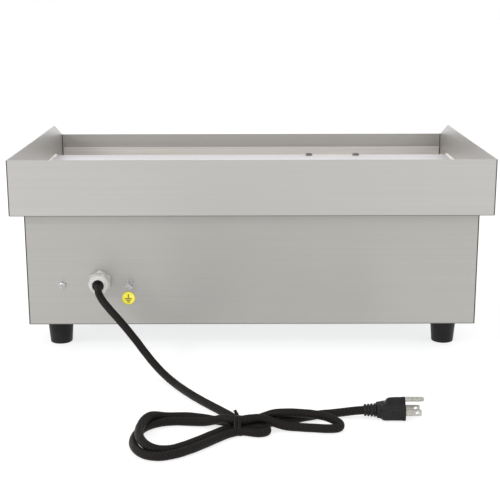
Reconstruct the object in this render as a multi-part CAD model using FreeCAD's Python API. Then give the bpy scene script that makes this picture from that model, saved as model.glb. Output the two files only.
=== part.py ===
import FreeCAD, Part
import math
import os

# Countertop electric flat top griddle, millimetres, +Z up.
# The controls face -Y, the mains lead leaves the back, which faces +Y.
# Origin: on the floor, under the middle of the griddle's box.

V = FreeCAD.Vector
X_AXIS, Y_AXIS, Z_AXIS = V(1, 0, 0), V(0, 1, 0), V(0, 0, 1)

# ---- driving dimensions ----
WIDTH = 550.0              # across the splash hood
DEPTH = 370.0              # front to back of the splash hood
HEIGHT = 230.0             # floor to the top of the splash guard
SHEET = 1.2                # stainless sheet
HOOD_BOTTOM = 166.0
FRONT_WALL_TOP = 210.0
GUARD_SLOPE = 58.0         # length over which the side guards fall to the front wall
HOOD_FLANGE = 30.0
PLATE_TOP = 190.0
PLATE_THICK = 8.0
PLATE_FRONT_SETBACK = 305.0   # hood's back face to the plate's front edge
CABINET_WIDTH = 522.0
CABINET_INSET = 15.0       # hood face to cabinet face, front and back
CABINET_FLANGE = 15.0
FOOT_HEIGHT = 34.0
FOOT_TOP_R, FOOT_BOTTOM_R = 15.75, 13.0
KNOB_PROUD = 11.0          # knob and handle in front of the hood's front face
GLAND_PROUD = 5.0          # cable gland behind the hood's back face

HOOD_BACK = (DEPTH + KNOB_PROUD - GLAND_PROUD) / 2
HOOD_FRONT = HOOD_BACK - DEPTH
CABINET_BACK = HOOD_BACK - CABINET_INSET
CABINET_FRONT = HOOD_FRONT + CABINET_INSET
HALF_W = WIDTH / 2
HALF_CAB = CABINET_WIDTH / 2
PLATE_BOTTOM = PLATE_TOP - PLATE_THICK
PLATE_FRONT = HOOD_BACK - PLATE_FRONT_SETBACK
FRONTMOST = HOOD_FRONT - KNOB_PROUD
BASE_TOP = FOOT_HEIGHT + SHEET
BEND_R = 2.0               # outside radius of a folded corner
FIT = 0.05                 # radial clearance of a running fit

# ---- controls and drawer ----
KNOB_X, KNOB_Z = 150.0, 100.0
KNOB_R = 22.0
SHAFT_R = 3.0
LAMP_X = (62.0, 94.0)      # power lamp, heating lamp
LAMP_Z = 112.0
LAMP_R = 6.0
DRAWER_X = -112.5
TRAY_W, TRAY_H = 170.0, 50.0
TRAY_BOTTOM = 42.0
TRAY_BACK = 58.0
FASCIA_W, FASCIA_H = 190.0, 62.0
FASCIA_BOTTOM = 37.0
SLIDE_GAP = 0.3
HANDLE_Z = 72.0
HANDLE_HALF = 45.0
HANDLE_R = 4.0

# ---- drain ----
DRAIN_Y = -135.0
SPOUT_W, SPOUT_D = 58.0, 16.0
SPOUT_BOTTOM = 120.0
CHUTE_HALF = 44.5
CHUTE_LAP = 14.0           # how far the chute's flange reaches over the plate
CHUTE_SEAT = PLATE_TOP - SHEET
RECESS_GAP = 0.4
CHUTE_SCREW_X = (DRAWER_X - 32.5, DRAWER_X + 32.5)

# ---- back panel fittings ----
GLAND_X, GLAND_Z = 176.0, 86.0
STUD_X, STUD_Z = 141.6, 82.3
DISC_X, DISC_Z = 143.7, 65.8
BACK_SCREW_X, BACK_SCREW_Z = 219.7, 81.4

# ---- heating ----
ELEMENT_R = 4.0
ELEMENT_Z = PLATE_BOTTOM - ELEMENT_R - 0.1
LEG_PITCH = 32.0
ELEMENT_LEFT, ELEMENT_RIGHT = -222.0, 196.0
ELEMENT_END = 222.0
REAR_ELEMENT_Y, FRONT_ELEMENT_Y = 140.0, 12.0
CLAMP_X = (-150.0, -10.0, 130.0)
CLAMP_STUD_Y = (124.0, 28.0, -68.0)
SHIELD_BOTTOM = 144.8
SHIELD_HALF = 238.0
SHIELD_BACK, SHIELD_FRONT = 152.0, -98.0
SIDE_SCREWS = [(side * 250.0, y) for side in (-1, 1) for y in (-60.0, 40.0, 140.0)]
BACK_SCREWS = [(-120.0, 161.0), (120.0, 161.0)]

# ---- mains lead ----
CORD_R = 4.3
PLUG_FACE_X = -151.5
PLUG_Y = HOOD_BACK + 188.0
PLUG_CORD_Z = 8.2
HANK_HEIGHT = 17.4
# route of the lead, from the gland down to the tied hank: (x, behind the hood, height)
LEAD_ROUTE = [
    (176.3, 2.0, 86.3), (174.0, 24.0, 84.0), (164.0, 40.0, 75.0), (147.0, 51.5, 60.0),
    (129.5, 59.5, 41.0), (114.5, 68.0, 23.0), (99.5, 80.5, 10.0), (85.0, 99.0, 4.4),
    (69.5, 127.0, 4.6), (52.0, 153.0, 4.4), (34.0, 177.0, 4.4), (24.0, 193.0, 4.4),
]
# route from the hank to the plug's strain relief
TAIL_ROUTE = [
    (-68.0, 185.5, 5.2), (-84.0, 185.0, 5.0), (-98.0, 187.0, 6.8), (-114.0, 188.2, 8.5),
]
# outline of the tied hank seen from above, with the radius of each rounded corner
HANK_OUTLINE = [
    (12.0, 200.0, 12), (34.0, 183.0, 20), (76.0, 171.0, 26), (112.0, 196.0, 34),
    (124.0, 254.0, 40), (104.0, 306.0, 26), (70.0, 304.0, 24), (34.0, 254.0, 40),
    (6.0, 232.0, 12), (-24.0, 243.0, 8), (-34.0, 236.0, 6), (-94.0, 232.0, 18),
    (-96.0, 198.0, 16), (-60.0, 176.0, 40), (-10.0, 196.0, 30),
]

# ---- places that follow from the dimensions above ----
ARC_SHARE = 0.45           # part of a run that the arc at its end may take
SEAL_W = 2.0
PLATE_HALF = HALF_W - SHEET - SEAL_W
PLATE_BACK = HOOD_BACK - SHEET - SEAL_W
CHUTE_SCREW_Y = PLATE_FRONT + 7.5
FRAME_LEG = 18.0
FRAME_WALL = 1.5
FRAME_CLEAR = 0.4
FRAME_FRONT = PLATE_FRONT + 20.0
TROUGH_FLOOR = HOOD_BOTTOM + SHEET
TROUGH_BACK = PLATE_FRONT + 6.0
TROUGH_FRONT = HOOD_FRONT + SHEET
TROUGH_LIP = PLATE_TOP + 1.5
BASE_SCREWS = [(side * (HALF_CAB - 8), y) for side in (-1, 1) for y in (-150.0, 0.0, 150.0)]
PANEL_SCREWS = [(side * (HALF_CAB - 7), z) for side in (-1, 1) for z in (52.0, 148.0)]
FOOT_X = 231.0
FOOT_Y = (HOOD_BACK - 57.0, HOOD_FRONT + 57.0)
FEET = [("rear", "left", -FOOT_X, FOOT_Y[0]), ("rear", "right", FOOT_X, FOOT_Y[0]),
        ("front", "left", -FOOT_X, FOOT_Y[1]), ("front", "right", FOOT_X, FOOT_Y[1])]
FOOT_SEAT = 12.0
CLAMP_TOP = ELEMENT_Z - ELEMENT_R
CLAMP_THICK = 3.0
BLANKET_TOP = 164.0
BULB_X0, BULB_X1, BULB_Y = -90.0, 20.0, 60.0
BULB_Z = PLATE_BOTTOM - 2.6
THERMO_FRONT = CABINET_FRONT + SHEET + 2
THERMO_BACK = THERMO_FRONT + 36
KNOB_BACK = CABINET_FRONT - 2.4
KNOB_HUB_BACK = CABINET_FRONT - 4.0
SHAFT_TIP = FRONTMOST + 8.0
CUTOUT_X, CUTOUT_Y = 100.0, 40.0
BLOCK_X0, BLOCK_X1 = 148.0, 208.0
BLOCK_Y0, BLOCK_Y1 = 96.0, 122.0
BLOCK_TOP = BASE_TOP + 24
POLES = [BLOCK_X0 + 12 + 18 * k for k in range(3)]
WIRE_R = 1.4
FASCIA_BACK = CABINET_FRONT - SLIDE_GAP
FASCIA_FRONT = FASCIA_BACK - 6.0
TRAY_FRONT = FASCIA_FRONT + SHEET
GLAND_FACE = CABINET_BACK + 4.0
GLAND_TIP = HOOD_BACK + GLAND_PROUD
TIE_X = 14.0
TIE_HALF = 3.5
TIE_THICK = 1.2
PLUG_HALF_W = 12.0
PLUG_BACK_X = PLUG_FACE_X + 28.5
RELIEF_X = -110.5
GROUND_Z = PLUG_CORD_Z - 0.6 + 11.9


# ---- shape helpers ----
def save(name, shape):
    shape.exportStep("parts/%s.step" % name)
    print("%-22s %3d solid(s) %12.1f mm3" % (name, len(shape.Solids), shape.Volume))


def box(x0, x1, y0, y1, z0, z1):
    return Part.makeBox(x1 - x0, y1 - y0, z1 - z0, V(x0, y0, z0))


def rod(radius, start, end):
    along = V(*end) - V(*start)
    return Part.makeCylinder(radius, along.Length, V(*start), along)


def cone(r0, r1, start, end):
    along = V(*end) - V(*start)
    return Part.makeCone(r0, r1, along.Length, V(*start), along)


def tube(outer, inner, start, end):
    return rod(outer, start, end).cut(rod(inner, start, end))


def hexagon(across_flats, start, end, turn=0.0):
    """A hexagonal bar from start to end, both on one axis-parallel line."""
    along = V(*end) - V(*start)
    side = Z_AXIS if abs(along.z) < 1e-6 else X_AXIS
    other = along.normalize().cross(side)
    reach = across_flats / math.sqrt(3)
    corners = []
    for k in range(7):
        a = math.radians(60 * k + turn)
        corners.append(V(*start) + side * (reach * math.cos(a)) + other * (reach * math.sin(a)))
    return Part.Face(Part.makePolygon(corners)).extrude(V(*end) - V(*start))


def prism_x(profile, x0, x1):
    """A (y, z) profile swept from x0 to x1."""
    points = [V(x0, y, z) for y, z in profile]
    return Part.Face(Part.makePolygon(points + points[:1])).extrude(V(x1 - x0, 0, 0))


def round_edges(shape, radius, wanted):
    edges = [e for e in shape.Edges if wanted(e)]
    return shape.makeFillet(radius, edges)


def upright(edge):
    a, b = edge.Vertexes[0].Point, edge.Vertexes[-1].Point
    return abs(a.x - b.x) < 1e-6 and abs(a.y - b.y) < 1e-6 and abs(a.z - b.z) > 1e-6


def group(solids):
    return Part.makeCompound(solids)


def cut_all(shape, tools):
    for tool in tools:
        shape = shape.cut(tool)
    return shape


def at_back(x, behind, z):
    """A point given by its distance behind the hood's back face."""
    return V(x, HOOD_BACK + behind, z)


def corner_arc(before, corner, after, largest=math.inf):
    """Tangent points, middle point and radius of the arc that rounds one corner."""
    back, ahead = before - corner, after - corner
    turn = math.pi - back.getAngle(ahead)
    radius = min(largest, ARC_SHARE * min(back.Length, ahead.Length) / math.tan(turn / 2))
    trim = radius * math.tan(turn / 2)
    back.normalize()
    ahead.normalize()
    inward = (back + ahead).normalize()
    middle = corner + inward * (radius / math.cos(turn / 2) - radius)
    return corner + back * trim, middle, corner + ahead * trim, radius


def rounded_wire(points):
    """Straight runs joined by tangent arcs, each as large as its two runs allow."""
    edges, radii = [], []
    here = points[0]
    for before, corner, after in zip(points, points[1:], points[2:]):
        start, middle, end, radius = corner_arc(before, corner, after)
        edges.append(Part.LineSegment(here, start).toShape())
        edges.append(Part.Arc(start, middle, end).toShape())
        radii.append(radius)
        here = end
    edges.append(Part.LineSegment(here, points[-1]).toShape())
    return Part.Wire(edges), radii


def swept_tube(name, points, radius):
    """A round tube along a route; prints its bend radii and checks its volume."""
    wire, radii = rounded_wire(points)
    direction = points[1] - points[0]
    circle = Part.Wire(Part.makeCircle(radius, points[0], direction))
    solid = wire.makePipeShell([circle], True, False)
    expected = math.pi * radius ** 2 * wire.Length
    print("%-22s length %.1f radii %s volume/section*length %.4f" % (
        name, wire.Length, [round(r) for r in radii], solid.Volume / expected))
    return solid


def rounded_outline(corners, z):
    """A closed face from (x, y, corner radius) points."""
    count = len(corners)
    places = [V(x, y, z) for x, y, _ in corners]
    arcs = []
    for k in range(count):
        arcs.append(corner_arc(places[k - 1], places[k], places[(k + 1) % count], corners[k][2]))
    edges = []
    for k in range(count):
        start, middle, end, _ = arcs[k]
        edges.append(Part.Arc(start, middle, end).toShape())
        edges.append(Part.LineSegment(end, arcs[(k + 1) % count][0]).toShape())
    return Part.Face(Part.Wire(edges))


def dock(end, direction, wide=30.0, tall=30.0, reach=40.0):
    """A block beyond a tube's end face, square to the tube, that makes room for the tube."""
    block = Part.makeBox(wide, reach, tall, V(-wide / 2, 0, -tall / 2))
    block.Placement = FreeCAD.Placement(end, FreeCAD.Rotation(Y_AXIS, direction))
    return block


# ---- splash hood, plate and trough ----
def hood():
    profile = [
        (HOOD_BACK, HOOD_BOTTOM), (HOOD_BACK, HEIGHT), (HOOD_FRONT + GUARD_SLOPE, HEIGHT),
        (HOOD_FRONT, FRONT_WALL_TOP), (HOOD_FRONT, HOOD_BOTTOM),
    ]
    outer = round_edges(prism_x(profile, -HALF_W, HALF_W), BEND_R, upright)
    inner = box(-HALF_W + SHEET, HALF_W - SHEET, HOOD_FRONT + SHEET, HOOD_BACK - SHEET,
                HOOD_BOTTOM + SHEET, HEIGHT + 1)
    inner = round_edges(inner, BEND_R - SHEET, upright)
    opening = box(-HALF_W + HOOD_FLANGE, HALF_W - HOOD_FLANGE, HOOD_FRONT + HOOD_FLANGE,
                  HOOD_BACK - HOOD_FLANGE, HOOD_BOTTOM - 1, HOOD_BOTTOM + 2)
    shell = outer.cut(inner).cut(opening)
    bottom_edges = [e for e in shell.Edges
                    if abs(e.BoundBox.ZMax - HOOD_BOTTOM) < 1e-4 and e.BoundBox.DiagonalLength > 300
                    and (abs(e.BoundBox.YMin - HOOD_BACK) < 1e-4 or abs(e.BoundBox.YMax - HOOD_FRONT) < 1e-4
                         or abs(abs(e.BoundBox.XMin) - HALF_W) < 1e-4 and e.BoundBox.XLength < 1e-4)]
    shell = shell.makeFillet(0.9, bottom_edges) if len(bottom_edges) == 4 else shell
    return cut_all(shell, flange_screw_holes())


def flange_screw_holes():
    low, high = HOOD_BOTTOM - 6, HOOD_BOTTOM + 6
    return [rod(2.1, (x, y, low), (x, y, high)) for x, y in SIDE_SCREWS + BACK_SCREWS]


def griddle_plate():
    """The cooking plate, with a shallow recess at its front edge that takes the chute's flange."""
    plate = box(-PLATE_HALF, PLATE_HALF, PLATE_FRONT, PLATE_BACK, PLATE_BOTTOM, PLATE_TOP)
    front_top = [e for e in plate.Edges if e.BoundBox.YMax < PLATE_FRONT + 1e-4
                 and e.BoundBox.ZMin > PLATE_TOP - 1e-4]
    plate = plate.makeFillet(1.5, front_top)
    reach = CHUTE_HALF + RECESS_GAP
    plate = plate.cut(box(DRAWER_X - reach, DRAWER_X + reach, PLATE_FRONT - 1,
                          PLATE_FRONT + CHUTE_LAP + RECESS_GAP, CHUTE_SEAT, PLATE_TOP + 1))
    holes = [rod(2.55, (x, CHUTE_SCREW_Y, PLATE_BOTTOM - 1), (x, CHUTE_SCREW_Y, PLATE_TOP + 1))
             for x in CHUTE_SCREW_X]
    return cut_all(plate, holes)


def plate_seal():
    low, high = PLATE_TOP - 4.0, PLATE_TOP + 1.5
    outer = box(-HALF_W + SHEET, HALF_W - SHEET, PLATE_FRONT, HOOD_BACK - SHEET, low, high)
    outer = round_edges(outer, BEND_R - SHEET, lambda e: upright(e) and e.BoundBox.YMin > PLATE_FRONT + 1)
    return outer.cut(box(-PLATE_HALF, PLATE_HALF, PLATE_FRONT - 1, PLATE_BACK, low - 1, high + 1))


def plate_support_frame():
    low, high = HOOD_BOTTOM + SHEET, PLATE_BOTTOM
    x, back = HALF_W - SHEET - FRAME_CLEAR, HOOD_BACK - SHEET - FRAME_CLEAR
    block = box(-x, x, FRAME_FRONT, back, low, high)
    block = round_edges(block, BEND_R, lambda e: upright(e) and e.BoundBox.YMin > 0)
    slot = box(-x + FRAME_WALL, x - FRAME_WALL, FRAME_FRONT - 1, back - FRAME_WALL,
               low + FRAME_WALL, high - FRAME_WALL)
    middle = box(-x + FRAME_LEG, x - FRAME_LEG, FRAME_FRONT - 1, back - FRAME_LEG, low - 1, high + 1)
    return block.cut(slot).cut(middle)


def grease_trough():
    half = HALF_W - SHEET - 0.9
    profile = [
        (TROUGH_BACK + 12, PLATE_BOTTOM), (TROUGH_BACK - SHEET, PLATE_BOTTOM),
        (TROUGH_BACK - SHEET, TROUGH_FLOOR + SHEET), (TROUGH_FRONT + SHEET, TROUGH_FLOOR + SHEET),
        (TROUGH_FRONT + SHEET, TROUGH_LIP), (TROUGH_FRONT, TROUGH_LIP),
        (TROUGH_FRONT, TROUGH_FLOOR), (TROUGH_BACK, TROUGH_FLOOR),
        (TROUGH_BACK, PLATE_BOTTOM - SHEET), (TROUGH_BACK + 12, PLATE_BOTTOM - SHEET),
    ]
    channel = prism_x(profile, -half, half)
    cap = box(0, SHEET, TROUGH_FRONT + SHEET, TROUGH_BACK - SHEET, TROUGH_FLOOR + SHEET, PLATE_BOTTOM - 2)
    left = cap.translated(V(-half, 0, 0))
    right = cap.translated(V(half - SHEET, 0, 0))
    slot = box(DRAWER_X - SPOUT_W / 2, DRAWER_X + SPOUT_W / 2, DRAIN_Y - SPOUT_D / 2, DRAIN_Y + SPOUT_D / 2,
               TROUGH_FLOOR - 1, TROUGH_FLOOR + SHEET + 1)
    return channel.fuse([left, right]).removeSplitter().cut(slot)


def drain_spout():
    x0, x1 = DRAWER_X - SPOUT_W / 2, DRAWER_X + SPOUT_W / 2
    y0, y1 = DRAIN_Y - SPOUT_D / 2, DRAIN_Y + SPOUT_D / 2
    wall = box(x0, x1, y0, y1, SPOUT_BOTTOM, TROUGH_FLOOR + SHEET)
    collar = box(x0 - 5, x1 + 5, y0 - 5, y1 + 5, TROUGH_FLOOR - SHEET, TROUGH_FLOOR)
    bore = box(x0 + SHEET, x1 - SHEET, y0 + SHEET, y1 - SHEET, SPOUT_BOTTOM - 1, TROUGH_FLOOR + 5)
    return wall.fuse(collar).cut(bore)


def grease_chute():
    """A bent strip let into the plate's front edge, which leads grease down to the drain slot."""
    drop = PLATE_FRONT - SHEET
    lap = PLATE_FRONT + CHUTE_LAP
    profile = [
        (lap, CHUTE_SEAT), (PLATE_FRONT, CHUTE_SEAT), (PLATE_FRONT, 179.0),
        (DRAIN_Y + 9, 171.5), (DRAIN_Y + 8, 172.7), (drop, 179.8), (drop, PLATE_TOP), (lap, PLATE_TOP),
    ]
    chute = prism_x(profile, DRAWER_X - CHUTE_HALF, DRAWER_X + CHUTE_HALF)
    holes = [rod(2.6, (x, CHUTE_SCREW_Y, CHUTE_SEAT - 1), (x, CHUTE_SCREW_Y, PLATE_TOP + 1))
             for x in CHUTE_SCREW_X]
    return cut_all(chute, holes)


def pan_screw(radius, head_r, head_h, seat, tip):
    """A pan-head cross-recess screw: the head stands outwards from seat, the shank runs to tip."""
    seat, tip = V(*seat), V(*tip)
    out = (seat - tip).normalize()
    crown = seat + out * head_h
    head = rod(head_r, seat, crown)
    rim = [e for e in head.Edges if abs((e.CenterOfMass - crown).dot(out)) < 1e-6 and e.Closed]
    head = head.makeFillet(head_h * 0.55, rim[:1])
    side = Z_AXIS if abs(out.z) < 0.5 else X_AXIS
    other = out.cross(side)
    long, thin, deep = head_r * 0.95, head_r * 0.26, head_h * 0.55
    for a, b in ((side, other), (other, side)):
        arm = Part.makeBox(long, thin, deep * 2, V(-long / 2, -thin / 2, -deep))
        arm.Placement = FreeCAD.Placement(crown, FreeCAD.Rotation(a, b, out, "ZXY"))
        head = head.cut(arm)
    return head.fuse(rod(radius, seat, tip)).removeSplitter()


def chute_screws():
    tip = PLATE_BOTTOM + 0.5
    return group([pan_screw(2.5, 4.6, 2.8, (x, CHUTE_SCREW_Y, PLATE_TOP), (x, CHUTE_SCREW_Y, tip))
                  for x in CHUTE_SCREW_X])


# ---- cabinet ----
def cabinet_wrap():
    outer = box(-HALF_CAB, HALF_CAB, CABINET_FRONT + SHEET, CABINET_BACK, FOOT_HEIGHT, HOOD_BOTTOM)
    outer = round_edges(outer, BEND_R, lambda e: upright(e) and e.BoundBox.YMin > 0)
    inner = box(-HALF_CAB + SHEET, HALF_CAB - SHEET, CABINET_FRONT - 1, CABINET_BACK - SHEET,
                FOOT_HEIGHT - 1, HOOD_BOTTOM + 1)
    inner = round_edges(inner, BEND_R - SHEET, lambda e: upright(e) and e.BoundBox.YMin > 0)
    walls = outer.cut(inner)
    x, back, front = HALF_CAB - SHEET / 2, CABINET_BACK - SHEET / 2, CABINET_FRONT + SHEET
    hole_x, hole_back = HALF_CAB - CABINET_FLANGE, CABINET_BACK - CABINET_FLANGE
    for low in (BASE_TOP, HOOD_BOTTOM - SHEET):
        flange = box(-x, x, front, back, low, low + SHEET)
        flange = flange.cut(box(-hole_x, hole_x, front - 1, hole_back, low - 1, low + 5))
        walls = walls.fuse(flange)
    for side in (-1, 1):
        edge = sorted((side * x, side * (HALF_CAB - 12)))
        walls = walls.fuse(box(edge[0], edge[1], front, front + SHEET, BASE_TOP, HOOD_BOTTOM))
    out, into = CABINET_BACK + 1, CABINET_BACK - 5
    holes = [
        rod(10.2, (GLAND_X, out, GLAND_Z), (GLAND_X, into, GLAND_Z)),
        rod(2.6, (STUD_X, out, STUD_Z), (STUD_X, into, STUD_Z)),
        rod(2.1, (BACK_SCREW_X, out, BACK_SCREW_Z), (BACK_SCREW_X, into, BACK_SCREW_Z)),
    ]
    holes += [rod(1.6, (x, y, FOOT_HEIGHT - 3), (x, y, FOOT_HEIGHT + 5)) for x, y in BASE_SCREWS]
    holes += [rod(1.6, (x, front - 2, z), (x, front + 4, z)) for x, z in PANEL_SCREWS]
    return cut_all(walls.removeSplitter(), holes + flange_screw_holes())


def base_panel():
    clear = 0.1
    x, back, front = HALF_CAB - SHEET - clear, CABINET_BACK - SHEET - clear, CABINET_FRONT + SHEET + clear
    panel = round_edges(box(-x, x, front, back, FOOT_HEIGHT, BASE_TOP), 1.2, upright)
    slots = []
    for row in range(5):
        y = -20.0 + 22 * row
        for cx in (60.0, 130.0, 200.0):
            slots.append(box(cx - 22, cx + 22, y - 2, y + 2, FOOT_HEIGHT - 1, BASE_TOP + 1))
    holes = [rod(1.6, (x, y, FOOT_HEIGHT - 1), (x, y, BASE_TOP + 1)) for x, y in BASE_SCREWS]
    holes += [rod(3.1, (x, y, FOOT_HEIGHT - 1), (x, y, BASE_TOP + 1)) for _, _, x, y in FEET]
    return cut_all(panel, slots + holes)


def base_screws():
    return group([pan_screw(1.5, 3.4, 1.8, (x, y, FOOT_HEIGHT), (x, y, BASE_TOP + 4))
                  for x, y in BASE_SCREWS])


def front_panel():
    panel = box(-HALF_CAB, HALF_CAB, CABINET_FRONT, CABINET_FRONT + SHEET, FOOT_HEIGHT, HOOD_BOTTOM)
    out, into = CABINET_FRONT - 1, CABINET_FRONT + 3
    reach = TRAY_W / 2 + 2
    holes = [
        box(DRAWER_X - reach, DRAWER_X + reach, out, into, TRAY_BOTTOM - 2, TRAY_BOTTOM + TRAY_H + 2),
        rod(5.0, (KNOB_X, out, KNOB_Z), (KNOB_X, into, KNOB_Z)),
    ]
    holes += [rod(2.1, (KNOB_X, out, z), (KNOB_X, into, z)) for z in (KNOB_Z - 14, KNOB_Z + 14)]
    holes += [rod(LAMP_R, (x, out, LAMP_Z), (x, into, LAMP_Z)) for x in LAMP_X]
    holes += [rod(1.6, (x, out, z), (x, into, z)) for x, z in PANEL_SCREWS]
    return cut_all(panel, holes)


def front_panel_screws():
    return group([pan_screw(1.5, 3.4, 1.8, (x, CABINET_FRONT, z), (x, CABINET_FRONT + 7, z))
                  for x, z in PANEL_SCREWS])


def hood_screws():
    low = HOOD_BOTTOM - 2 * SHEET
    return group([pan_screw(2.0, 3.5, 2.0, (x, y, low), (x, y, HOOD_BOTTOM + SHEET + 3))
                  for x, y in SIDE_SCREWS + BACK_SCREWS])


# ---- feet ----


def rubber_foot(x, y):
    body = cone(FOOT_BOTTOM_R, FOOT_TOP_R, (x, y, 0), (x, y, FOOT_HEIGHT))
    rim = [e for e in body.Edges if e.Closed and e.BoundBox.ZMax < 1e-4]
    body = body.makeFillet(1.6, rim[:1])
    socket = rod(7.0, (x, y, -1), (x, y, FOOT_SEAT))
    return cut_all(body, [socket, rod(3.1, (x, y, 0), (x, y, FOOT_HEIGHT + 1))])


def foot_screws():
    solids = []
    for _, _, x, y in FEET:
        solids.append(pan_screw(3.0, 5.5, 3.5, (x, y, FOOT_SEAT), (x, y, BASE_TOP + 9)))
        solids.append(hexagon(10, (x, y, BASE_TOP), (x, y, BASE_TOP + 5)).cut(
            rod(3.0, (x, y, BASE_TOP - 1), (x, y, BASE_TOP + 6))))
    return group(solids)


# ---- heating ----
def heating_element(first_y):
    """A tubular element bent to and fro under the plate, both ends turned down at the right."""
    z = ELEMENT_Z
    legs = [first_y - k * LEG_PITCH for k in range(4)]
    r = LEG_PITCH / 2
    drop = 14.0
    low = SHIELD_BOTTOM - 22.0
    end_x = ELEMENT_END - drop
    edges = [
        Part.LineSegment(V(ELEMENT_END, legs[0], low), V(ELEMENT_END, legs[0], z - drop)).toShape(),
        Part.Arc(V(ELEMENT_END, legs[0], z - drop),
                 V(end_x + drop * math.sqrt(0.5), legs[0], z - drop + drop * math.sqrt(0.5)),
                 V(end_x, legs[0], z)).toShape(),
    ]
    here = V(end_x, legs[0], z)
    for k in range(3):
        bend_x = ELEMENT_LEFT + r if k % 2 == 0 else ELEMENT_RIGHT - r
        bulge = -r if k % 2 == 0 else r
        turn = V(bend_x, legs[k], z)
        after = V(bend_x, legs[k + 1], z)
        edges.append(Part.LineSegment(here, turn).toShape())
        edges.append(Part.Arc(turn, V(bend_x + bulge, legs[k] - r, z), after).toShape())
        here = after
    last = V(end_x, legs[3], z)
    edges += [
        Part.LineSegment(here, last).toShape(),
        Part.Arc(last, V(end_x + drop * math.sqrt(0.5), legs[3], z - drop + drop * math.sqrt(0.5)),
                 V(ELEMENT_END, legs[3], z - drop)).toShape(),
        Part.LineSegment(V(ELEMENT_END, legs[3], z - drop), V(ELEMENT_END, legs[3], low)).toShape(),
    ]
    circle = Part.Wire(Part.makeCircle(ELEMENT_R, V(ELEMENT_END, legs[0], low), Z_AXIS))
    return Part.Wire(edges).makePipeShell([circle], True, False)


def element_ends():
    firsts = (REAR_ELEMENT_Y, FRONT_ELEMENT_Y)
    return [(ELEMENT_END, first - k * LEG_PITCH) for first in firsts for k in (0, 3)]


def element_clamps():
    bars = []
    for x in CLAMP_X:
        bar = box(x - 10, x + 10, -92.0, 148.0, CLAMP_TOP - CLAMP_THICK, CLAMP_TOP)
        holes = [rod(3.3, (x, y, CLAMP_TOP - 5), (x, y, CLAMP_TOP + 1)) for y in CLAMP_STUD_Y]
        bars.append(cut_all(bar, holes))
    return group(bars)


def clamp_studs():
    solids = []
    under = CLAMP_TOP - CLAMP_THICK
    for x in CLAMP_X:
        for y in CLAMP_STUD_Y:
            solids.append(rod(3.0, (x, y, under - 6.2), (x, y, PLATE_BOTTOM)))
            nut = hexagon(10, (x, y, under - 5), (x, y, under))
            solids.append(nut.cut(rod(3.0, (x, y, under - 6), (x, y, under + 1))))
    return group(solids)


def insulation_blanket():
    gap = SHEET + 0.4
    blanket = box(-SHIELD_HALF + gap, SHIELD_HALF - gap, SHIELD_FRONT + gap, SHIELD_BACK - gap,
                  SHIELD_BOTTOM + SHEET, BLANKET_TOP - 1)
    holes = [rod(ELEMENT_R + 1.5, (x, y, 100), (x, y, 180)) for x, y in element_ends()]
    holes.append(rod(3.0, (BULB_X1 + 12, BULB_Y, 100), (BULB_X1 + 12, BULB_Y, 180)))
    return cut_all(blanket, holes)


def heat_shield():
    top = HOOD_BOTTOM - SHEET
    walls = box(-SHIELD_HALF, SHIELD_HALF, SHIELD_FRONT, SHIELD_BACK, SHIELD_BOTTOM, top)
    hollow = box(-SHIELD_HALF + SHEET, SHIELD_HALF - SHEET, SHIELD_FRONT + SHEET, SHIELD_BACK - SHEET,
                 SHIELD_BOTTOM + SHEET, top + 1)
    lip = 16.0
    flange = box(-SHIELD_HALF - lip, SHIELD_HALF + lip, SHIELD_FRONT, SHIELD_BACK + 12, top - SHEET, top)
    flange = flange.cut(box(-SHIELD_HALF + 1, SHIELD_HALF - 1, SHIELD_FRONT - 1, SHIELD_BACK - 1,
                            top - 5, top + 1))
    tray = walls.cut(hollow).fuse(flange).removeSplitter()
    holes = [rod(ELEMENT_R + 1.5, (x, y, 100), (x, y, 150)) for x, y in element_ends()]
    holes.append(rod(3.0, (BULB_X1 + 12, BULB_Y, 100), (BULB_X1 + 12, BULB_Y, 150)))
    return cut_all(tray, holes + flange_screw_holes())


# ---- controls ----


def thermostat_body():
    body = box(KNOB_X - 22, KNOB_X + 22, THERMO_FRONT, THERMO_BACK, KNOB_Z - 20, KNOB_Z + 20)
    body = round_edges(body, 2.0, lambda e: e.BoundBox.YLength > 30)
    boss = rod(9.0, (KNOB_X, THERMO_FRONT - 2, KNOB_Z), (KNOB_X, THERMO_FRONT + 1, KNOB_Z))
    ears = [tube(4.0, 2.05, (KNOB_X, THERMO_FRONT - 2, z), (KNOB_X, THERMO_FRONT, z))
            for z in (KNOB_Z - 14, KNOB_Z + 14)]
    tabs = [box(x - 3, x + 3, THERMO_BACK, THERMO_BACK + 8, KNOB_Z + dz - 0.4, KNOB_Z + dz + 0.4)
            for x in (KNOB_X - 12, KNOB_X + 12) for dz in (-10, 4)]
    whole = body.fuse([boss] + ears + tabs)
    bore = rod(SHAFT_R + FIT, (KNOB_X, THERMO_FRONT - 5, KNOB_Z), (KNOB_X, THERMO_FRONT + 14, KNOB_Z))
    screw_holes = [rod(2.0, (KNOB_X, THERMO_FRONT - 1, z), (KNOB_X, THERMO_FRONT + 8, z))
                   for z in (KNOB_Z - 14, KNOB_Z + 14)]
    return cut_all(whole, [bore] + screw_holes)


def shaft_blank(radius, y0, y1, flat):
    shaft = rod(radius, (KNOB_X, y0, KNOB_Z), (KNOB_X, y1, KNOB_Z))
    return shaft.cut(box(KNOB_X - 5, KNOB_X + 5, y1 - 20, y0 + 20, KNOB_Z - 8, KNOB_Z - flat))


def thermostat_shaft():
    inner_end = THERMO_FRONT + 13
    round_part = rod(SHAFT_R, (KNOB_X, inner_end, KNOB_Z), (KNOB_X, KNOB_HUB_BACK, KNOB_Z))
    return round_part.fuse(shaft_blank(SHAFT_R, KNOB_HUB_BACK, SHAFT_TIP, 1.5)).removeSplitter()


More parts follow.
